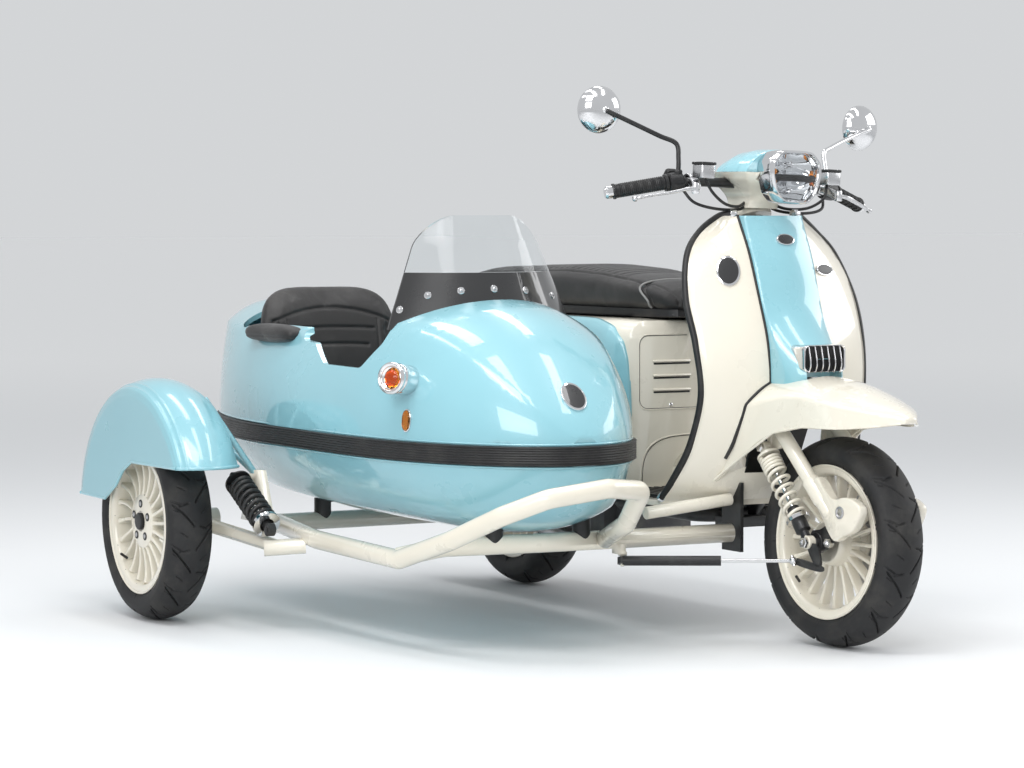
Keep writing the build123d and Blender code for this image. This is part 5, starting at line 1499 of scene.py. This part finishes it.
# %% [markdown]
# ## Rubber edging and seams
# A steel leg shield has a raw edge, so a thick rubber profile is pushed over it, from one floor
# corner up round the top and down to the other. Thin rubber strips also fill the seams between
# the painted panels. Each is a tube along a line that is worked out from the panels' own shapes.

# %% Lines on the panels
# Leg shield: height, half width, x of the edge, x of the middle
SHIELD = np.array([
    (305.0, 262.0, 1066.0, 1130.0), (350.0, 248.0, 1096.0, 1165.0), (433.0, 226.0, 1136.0, 1205.0),
    (545.0, 218.0, 1168.0, 1229.0), (655.0, 224.0, 1155.0, 1224.0), (754.0, 226.0, 1118.0, 1193.0),
    (850.0, 200.0, 1080.0, 1160.0), (903.0, 157.0, 1064.0, 1136.0), (940.0, 108.0, 1070.0, 1118.0)])
PANEL_HALF = (74.0, 76.0, 78.0, 80.0, 80.0, 78.0)


def shield_front(row, y):
    """x of the leg shield's front at one row: the arc through both edges and the middle."""
    z, half, edge_x, mid_x = row
    rise = mid_x - edge_x
    r = (half * half + rise * rise) / (2 * rise)
    return mid_x - r + math.sqrt(r * r - y * y)


edging = Group("chassis")
for side in SIDES:
    line = [(edge_x - 6, side * (half - 1), z) for z, half, edge_x, mid_x in SHIELD[:8]]
    line[0] = (1064, side * 258, 311)
    line += [(1064, side * 109, 938), (shield_front(SHIELD[8], 88) - 8, side * 86, 943)]
    edging.tube("edge", line, 8.2, "rubber", 150, 16, AHEAD)
    top = np.array([shield_front(SHIELD[8], 84) - 8, side * 84, 943.5])
    edging.turned(
        "clip", [(0, -8), (9.6, -8), (10.4, -6), (10.4, 6), (9.6, 8), (0, 8)], top, (-0.25, side, 0.0),
        "chrome", 32)
    foot = (1062, side * 256, 312)
    edging.turned(
        "clip", [(0, -7), (9.6, -7), (10.4, -5), (10.4, 5), (9.6, 7), (0, 7)], foot, (0.6, side * -0.3, 0.8),
        "chrome", 32)
    rows = zip(SHIELD[3:], PANEL_HALF)
    seam = [(shield_front(row, half) + 0.6, side * (half + 0.8), row[0]) for row, half in rows]
    edging.tube("seam", seam, 3.2, "rubber", 90, 10, AHEAD)
edging.join("leg_shield_edging")

# %% The front mudguard's seam and beads
GUARD = np.array([
    (1110.0, 178.0, 330.0, 590.0), (1200.0, 140.0, 405.0, 590.0), (1300.0, 122.0, 465.0, 590.0),
    (1400.0, 114.0, 483.0, 584.0), (1500.0, 100.0, 485.0, 563.0), (1585.0, 62.0, 492.0, 540.0),
    (1645.0, 14.0, 502.0, 514.0)])


def guard_outline(x, share):
    """(y, z) on the mudguard's outer outline at x. Shares from -1 to 1 go from the right foot over
    the crown to the left foot: sides for the outer thirds, and the crown's arc between."""
    half, low, top = at_rows(GUARD, x, 1, 2, 3)
    hip_y, hip_z = half * 0.92, low + (top - low) * 0.62
    sag = top - hip_z
    r = (hip_y ** 2 + sag ** 2) / (2 * sag)
    reach = np.arcsin(np.clip(hip_y / r, -1, 1))
    a = np.clip(share / 0.67, -1, 1) * reach
    down = np.clip((np.abs(share) - 0.67) / 0.33, 0, 1)
    y = r * np.sin(a) + np.sign(share) * down * (half - hip_y)
    z = top - r + r * np.cos(a) - down * (hip_z - low)
    return y, z


def guard_seam():
    """Where the mudguard meets the leg shield: x is moved to the shield's front at the outline's
    (y, z), again and again, until it settles."""
    share = np.linspace(-0.93, 0.93, 90)
    x = np.full(90, 1200.0)
    for _ in range(25):
        y, z = guard_outline(x, share)
        rise = np.interp(z, SHIELD[:, 0], SHIELD[:, 3] - SHIELD[:, 2])
        half, mid = at_rows(SHIELD, z, 1, 3)
        r = (half ** 2 + rise ** 2) / (2 * rise)
        x = 0.5 * x + 0.5 * (mid - r + np.sqrt(np.maximum(1.0, r ** 2 - y ** 2)))
    y, z = guard_outline(x, share)
    return np.stack([x + 1.0, y, z + 0.5], axis=1)


edge_line = guard_seam()
piece("mudguard_seam", along(edge_line, circle(4.2, 10), AHEAD), "rubber", "chassis", False, True, 60)
rim_share = np.linspace(0, 1, 120)
for side in SIDES:
    gx = 1135 + 500 * rim_share
    half, low = at_rows(GUARD, gx, 1, 2)
    piece(
        "mudguard_bead_" + ("right" if side < 0 else "left"),
        along(np.stack([gx, side * (half - 2.0), low + 1.5], 1), circle(3.0, 10)), "cream_paint", "chassis",
        False, True, 60)
print("mudguard seam and beads added")

# %% [markdown]
# ## Things that sit on a curved panel
# Badges, bolts and lamps lie flush on curved metal. A ray sent at a solid gives the point that it
# strikes and the direction the surface faces there, so each piece finds its own seat. Badges are
# left as plain enamel ovals in a chrome rim.

# %% Seats on surfaces
from mathutils.bvhtree import BVHTree

TREES = {}


def seat_on(node, start, toward):
    """Where a ray from start strikes a solid: the point in millimetres and the outward direction."""
    if node not in TREES:
        mesh = nodes[node].data
        TREES[node] = BVHTree.FromPolygons(
            [v.co for v in mesh.vertices], [tuple(f.vertices) for f in mesh.polygons])
    origin = Vector(at(start))
    place, facing, _, _ = TREES[node].ray_cast(origin, Vector(toward).normalized())
    facing = np.array(facing)
    if np.dot(facing, np.asarray(toward, float)) > 0:
        facing = -facing
    return (np.array(place) - START) * 1000, facing


print("rays strike", len(nodes), "solids")

# %% Badges


def badge(name, node, start, toward, half_w, half_h, field, body, up=UP):
    """A domed enamel oval in a raised chrome rim, lying on a surface."""
    spot, facing = seat_on(node, start, toward)
    parts = Group(body)
    outline = superoval(48, 1.0) * [half_w, half_h]
    parts.plate("plate", "chrome", 30, outline, spot - facing * 3.0, facing, up, 6.5, 1.2)
    levels = np.array([(0.86, 3.2), (0.86, 3.7), (0.6, 4.4), (0.3, 4.8), (0.02, 4.9)])
    right = np.cross(up, facing)
    right /= np.linalg.norm(right)
    rise = np.cross(facing, right)
    rows = np.stack([
        spot + facing * d + k * (outline[:, :1] * right + outline[:, 1:] * rise) for k, d in levels])
    parts.add("enamel", rows, field, 50)
    parts.join(name)


badge("badge_nose", "sidecar_cowl", (1500, -600, 600), (-1, 0, -0.18), 29, 36, "dark_acrylic", "chassis")
badge("badge_leg_shield", "leg_shield", (1400, -134.8, 830), (-1, 0, -0.05), 27, 36, "dark_acrylic", "chassis")
badge("badge_neck", "centre_panel", (1400, 4, 905), (-1, 0, -0.08), 24, 14, "dark_acrylic", "chassis")
badge("badge_plate", "leg_shield", (1400, 118, 830), (-1, 0, -0.05), 32, 14, "black_paint", "chassis")

# %% Screws of the windscreen
SCREWS = ((730.0, -808.0), (761.9, -756.8), (772.0, -691.9), (775.6, -617.6), (771.3, -533.8), (757.7, -440.0))
screws = Group("chassis")
for height, y in SCREWS:
    spot, facing = seat_on("windscreen_band", (1150, y, height + 4), (-1, 0, 0))
    screws.turned("washer", [(0, -1), (8.0, -1), (8.4, 0.6), (7.4, 1.6), (0, 1.6)], spot, facing, "chrome", 32)
    screws.domed("head", spot + facing * 1.4, facing, 4.6, 2.6, "steel", 24)
screws.join("screen_screws")

# %% [markdown]
# ## Panels of the body's front
# Under the seat the body's front wall carries a shallow inset panel with a round-cornered outline,
# three louvres and a screw, and an arch-shaped lid over the floor hump.

# %% Front wall details
WALL_X = 800.0
wall_bits = Group("chassis")
half_w, z_low, z_high = 156.0, 490.3, 664.0
loop = rounded(half_w, (z_high - z_low) / 2, 22, 8)
loop = np.stack([np.full(len(loop), WALL_X), loop[:, 0], loop[:, 1] + (z_low + z_high) / 2], axis=1)
closed_loop = np.vstack([loop, loop[:1]])


def strip(points, radius, slot, count=200):
    """Adds a thin round bead along given points, spread evenly by length."""
    points = np.asarray(points, float)
    run = np.concatenate([[0], np.cumsum(np.linalg.norm(np.diff(points, axis=0), axis=1))])
    s = np.linspace(0, run[-1], count)
    path = np.stack([np.interp(s, run, points[:, i]) for i in range(3)], axis=1)
    wall_bits.swept("bead", slot, 60, path, circle(radius, 8), AHEAD)


strip(closed_loop, 1.5, "cream_paint")
# A thin black bead just inside the cream outline is a painted shadow line along the inset panel's edge.
painted_shadow_loop = closed_loop.copy()
painted_shadow_loop[:, 1] *= 0.985
painted_shadow_loop[:, 2] = (painted_shadow_loop[:, 2] - (z_low + z_high) / 2) * 0.972 + (z_low + z_high) / 2
strip(painted_shadow_loop, 0.7, "black_paint")
for z in (596.5, 563.3, 530.0):
    for side in SIDES:
        # Each louvre's black strip under its cream lip is painted shade of the slot below the lip.
        wall_bits.plate(
            "louvre", "black_paint", 30, rounded(50, 2.1, 2.0), (WALL_X - 1.5, side * 66, z), AHEAD, UP, 2.0,
            0.3)
        wall_bits.plate(
            "lip", "cream_paint", 40, rounded(52, 2.2, 2.0), (WALL_X - 1.5, side * 66, z + 4.6), (1, 0, 0.5),
            UP, 4.6, 1.4)
for side in SIDES:
    wall_bits.domed("screw", (WALL_X + 0.5, side * 67.8, 500.0), AHEAD, 5.0, 2.2, "chrome", 24)
a = np.linspace(0, math.pi, 60)
arch = np.stack(
    [np.full(60, WALL_X + 0.2), -150 * signed_power(np.cos(a), 0.62), 306 + 124 * np.abs(np.sin(a)) ** 0.55],
    axis=1)
strip(arch, 1.5, "cream_paint")
# The thin black bead inside the lid's arch is a painted shadow line as well.
painted_shadow_arch = arch * [1, 0.975, 1] + [0, 0, -2.6]
strip(painted_shadow_arch, 0.7, "black_paint")
hump = np.stack([np.full(60, 0.0), -62.5 * np.cos(a), 305 + 92.6 * np.sin(a)], axis=1)
for x in (804.0, 908.5):
    strip(hump + [x, 0, 0], 1.8, "rubber")
wall_bits.join("front_wall_details")

# %% [markdown]
# ## Blue side panels
# A blue cover hooks over each flank of the ivory body and stands a little proud of it, with a soft
# round edge. Rings of its outline shrink towards its middle, and each ring is pushed out by the
# body's half width there plus a bulge.

# %% Blue side panels
# Body: x, half width; and how far the panel stands proud there
FLANK = np.array([
    (812.0, 176.0, 4.0), (800.0, 181.0, 9.0), (770.0, 192.0, 19.0), (740.0, 196.0, 23.0), (620.0, 199.0, 29.0),
    (500.0, 200.0, 33.0), (200.0, 196.0, 34.0), (-60.0, 170.0, 28.0), (-170.0, 132.0, 18.0),
    (-213.0, 96.0, 8.0)])
PANEL_LINE = np.array(
    [
        (803, 470), (802, 520), (800, 560), (796, 608), (784, 650), (744, 684), (660, 702), (300, 702),
        (60, 684), (-60, 652), (-150, 620), (-192, 580), (-176, 535), (60, 470), (420, 402), (740, 392),
        (785, 415)],
    float)


def side_cover(side):
    """Rings of the panel's outline drawn in towards its middle. Each point lies on the body's flank
    plus the bulge, which falls to nothing at the edge as a quarter circle does; above the
    shoulder it leans in with the body's round corner."""
    ring = softened(PANEL_LINE, 10, 0.16)
    middle = np.array([330.0, 540.0])
    share = np.concatenate([[1.0, 1.0], 1 - np.linspace(0.004, 0.16, 12) ** 1.2, np.linspace(0.85, 0.0, 22)])
    depth = np.concatenate([[-6.0, 0.0], np.ones(34)])
    points = middle + (ring - middle)[None] * share[:, None, None]
    x, z = points[..., 0], points[..., 1]
    half, bulge = (np.interp(-x, -FLANK[:, 0], FLANK[:, i]) for i in (1, 2))
    rise = np.sqrt(1 - (1 - np.clip((1 - share) / 0.10, 0, 1)) ** 2)[:, None]
    lean = np.clip((z - 636) / 70, 0, 1) ** 2 * 15
    above = 0.5 * np.clip((z - 600) / 90, 0, 1)
    out = half - lean + 3.0 + np.minimum(depth, 0)[:, None] + (bulge - 4) * rise * (1 - above)
    return np.stack([x, side * out, z], axis=2)


covers = Group("chassis")
for side in SIDES:
    covers.add("cover", side_cover(side), "blue_paint", 50)
covers.join("blue_side_panels", "side_panels")

# %% [markdown]
# ## Engine covers
# On the left the engine shows its belt cover: a cast lid with rounded ends, a raised rim, a round
# boss over each pulley, cooling ribs between them, and small bolts along its edge.

# %% Engine covers
COVER_Y = 168.0
lid_middle = np.array([120.0, 275.0])
lid = softened(
    np.array(
        [
            (-190, 52), (-150, 78), (60, 74), (200, 62), (232, 20), (224, -34), (180, -58), (-120, -74),
            (-180, -56), (-200, 0)],
        float),
    9, 0.18)
cover_bits = Group("chassis")
cover_bits.plate(
    "lid", "bare_aluminium", 40, lid, (lid_middle[0], COVER_Y - 14, lid_middle[1]), LEFT, UP, 13, 5)
rim_line = np.stack(
    [lid_middle[0] - lid[:, 0] * 0.93, np.full(len(lid), COVER_Y - 1.5), lid_middle[1] + lid[:, 1] * 0.93],
    axis=1)
cover_bits.swept("rim", "bare_aluminium", 60, np.vstack([rim_line, rim_line[:1]]), circle(2.0, 10), LEFT)
for x, z, r in ((0.0, 268.0, 52.0), (250.0, 284.0, 44.0)):
    cover_bits.turned(
        "boss", [(0, -4), (r, -4), (r, -1.5), (r - 4, -0.4), (r * 0.55, -0.8), (r * 0.5, -2.2), (0, -2.2)],
        (x, COVER_Y, z), LEFT, "bare_aluminium", 64)
for k in range(7):
    cover_bits.plate(
        "rib", "bare_aluminium", 40, rounded(26, 2.2, 2.0), (126, COVER_Y - 3, 245 + 9.5 * k), LEFT, UP, 2.6,
        0.8)
for k in range(0, len(lid), 9):
    cover_bits.bolt(
        "bolt", (lid_middle[0] - lid[k, 0] * 0.86, COVER_Y - 2.4, lid_middle[1] + lid[k, 1] * 0.86), LEFT, 8.0,
        2.2, "steel")
cover_bits.join("belt_cover")

# %% [markdown]
# ## Lamps and trim of the sidecar
# On the sidecar's outer flank are a round amber lamp on a chrome stalk and an oval reflector. A
# ribbed rubber belt covers the joint between cowl and hull, between two painted beads. The belt
# is one strip whose depth across its height is a row of small waves.

# %% Flank lamps
lamp_dir = np.array([0.45, -0.86, 0.12])
lamp_dir /= np.linalg.norm(lamp_dir)
pod_mid = np.array([1000.0, -886.0, 590.0])
pod_bits = Group("chassis")
pod_bits.turned(
    "body", [(0, -44), (30, -44), (33, -38), (34, -10), (34, 8), (32, 14), (29, 17), (0, 17)], pod_mid,
    lamp_dir, "chrome", 64, 40)
pod_bits.turned(
    "bezel", [(24, 15), (30, 17), (34, 20), (35.5, 24), (34.5, 28), (31, 31), (27, 30), (24.5, 26)], pod_mid,
    lamp_dir, "chrome", 64, 50)
pod_bits.turned(
    "well", [(0, 16), (24, 16), (25.5, 26), (24, 27), (17, 21), (0, 20.5)], pod_mid, lamp_dir, "mirror", 48)
r = np.linspace(0, 19, 14)
dome = 22 + 10.5 * np.sqrt(np.maximum(0, 1 - (r / 19.0) ** 2)) + 0.35 * np.cos(r * 2.4)
pod_bits.turned(
    "lens", [(0, 21)] + [(19.0, 21)] + np.stack([r, dome], 1)[::-1].tolist(), pod_mid, lamp_dir, "amber_lens",
    48, 60)
for k in range(3):
    _, e, f = cross_frame(lamp_dir)
    turn = math.radians(30 + 120 * k)
    pod_bits.domed(
        "screw", pod_mid + lamp_dir * 30 + 28.5 * (e * math.cos(turn) + f * math.sin(turn)), lamp_dir, 1.8, 1.2,
        "steel", 12)
pod_bits.join("flank_lamp", "sidecar_lamps")
spot, facing = seat_on("sidecar_cowl", (1002, -1200, 500), LEFT)
marker = Group("chassis")
marker.plate("rim", "chrome", 30, superoval(48, 0.9) * [14, 25], spot - facing * 3, facing, UP, 6.0, 1.4)
marker.plate("lens", "amber_lens", 30, superoval(48, 0.9) * [11.5, 22.5], spot, facing, UP, 6.5, 2.6)
marker.join("flank_reflector")

# %% Belt and its beads


def plan_half(x):
    """Half width of the sidecar's plan: full amidships, a blunt nose and a finer tail."""
    fore = np.clip((x - 650) / 660, 0, 1) ** 2.5
    aft = np.clip((350 - x) / 680, 0, 1) ** 1.6
    return 300 * np.sqrt(np.maximum(0, 1 - np.where(x > 500, fore, aft)))


def belt():
    """A strip round the plan: outline points go from tail to nose and back by the angle's cosine,
    and the outward offset is 9 mm with seven small ribs across its height of 42 mm."""
    a = np.linspace(0, 2 * math.pi, 361)[:-1]
    x = 490.5 + 817.0 * np.cos(a)
    y = CAR_Y + np.sign(np.sin(a)) * plan_half(x)
    path = np.stack([x, y], axis=1)
    ahead = np.roll(path, -1, 0) - np.roll(path, 1, 0)
    normal = np.stack([ahead[:, 1], -ahead[:, 0]], axis=1)
    normal /= np.linalg.norm(normal, axis=1)[:, None]
    h = np.linspace(0, 1, 57)
    ribs = 0.9 * (1 + np.cos(2 * math.pi * h * 8)) * (h > 0.1) * (h < 0.9)
    out = 8.6 * np.clip(np.minimum(h, 1 - h) * 18, 0, 1) ** 0.5 - ribs
    out = np.concatenate([[-2.5], out, [-2.5]])
    z = np.concatenate([[412.6], 412.6 + 42.8 * h, [455.4]])
    flat = path[:, None] + normal[:, None] * out[None, :, None]
    return np.concatenate([flat, np.broadcast_to(z[None, :, None], (len(a), len(z), 1))], axis=2)


belt_piece = piece("ribbed_belt", belt(), "rubber", "chassis", True, False, 60)
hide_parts("rub_band")
for height in (409.5, 458.5):
    ring = belt()[:, 3]
    ring = ring * [1, 1, 0] + [0, 0, height]
    mid = np.array([490.5, CAR_Y, height])
    bead = along(mid + (ring - mid) * [0.990, 0.976, 1], circle(2.6, 8))
    piece("belt_bead_" + str(int(height)), bead[:-1], "blue_paint", "chassis", True, True, 60)
print("sidecar trim made")

# %% [markdown]
# ## Light and floor
# Six narrow soft panels hang overhead, so that curved paint shows rows of pale streaks. A large one
# stands behind the camera, one lights the left edge, and a small one the body's front wall. The
# floor is plain, and gets paler far away, so that it meets the world's light without a line.

# %% Lights


def panel_light(name, place, target, width, height, power):
    """A rectangular soft light that faces its target."""
    lamp = bpy.data.lights.new(name, "AREA")
    lamp.shape = "RECTANGLE"
    lamp.size = width
    lamp.size_y = height
    lamp.energy = power
    made = bpy.data.objects.new(name, lamp)
    bpy.context.scene.collection.objects.link(made)
    made.location = at(place)
    made.rotation_euler = (Vector(at(target)) - made.location).to_track_quat("-Z", "Y").to_euler()


CEILING = 3400
for y in (-2100, -700, 700):
    for x in (-500, 1900):
        panel_light("overhead", (x, y, CEILING), (x, y, 0), 1.9, 0.34, 12)
panel_light("camera_side", (4200, -4200, 2600), (700, -300, 500), 3.2, 2.0, 96)
panel_light("left_edge", (1800, 3600, 2200), (700, 0, 500), 2.6, 1.6, 45)
panel_light("wall_fill", (1800, -1500, 2600), (800, -100, 550), 1.2, 0.8, 18)
world = bpy.data.worlds.new("studio")
world.use_nodes = True
world.node_tree.nodes["Background"].inputs[0].default_value = (0.96, 0.98, 1.0, 1)
world.node_tree.nodes["Background"].inputs[1].default_value = 0.68
bpy.context.scene.world = world
print("lights:", len(bpy.data.lights))

# %% Floor
FLOOR_SIZE = 90.0
floor_mesh = bpy.data.meshes.new("floor")
corners = np.array([(-1, -1, 0), (1, -1, 0), (1, 1, 0), (-1, 1, 0)]) * FLOOR_SIZE
floor_mesh.from_pydata(corners + [0, 0, -0.001], [], [(0, 1, 2, 3)])
floor = bpy.data.objects.new("floor", floor_mesh)
bpy.context.scene.collection.objects.link(floor)
NEAR_FLOOR, FAR_FLOOR = (0.82, 0.83, 0.84), (1.0, 1.0, 1.0)
floor_finish = Finish("floor", NEAR_FLOOR, 0.6)
distance = floor_finish.node("ShaderNodeVectorMath", {"operation": "LENGTH"}, {"Vector": floor_finish.where}, 1)
floor_finish.put("Base Color", distance.between(3.0, 14.0).blend((*NEAR_FLOOR, 1), (*FAR_FLOOR, 1)))
floor.data.materials.append(floor_finish.material)
bpy.context.scene.view_settings.view_transform = "Standard"
print("floor:", 2 * FLOOR_SIZE, "m wide")
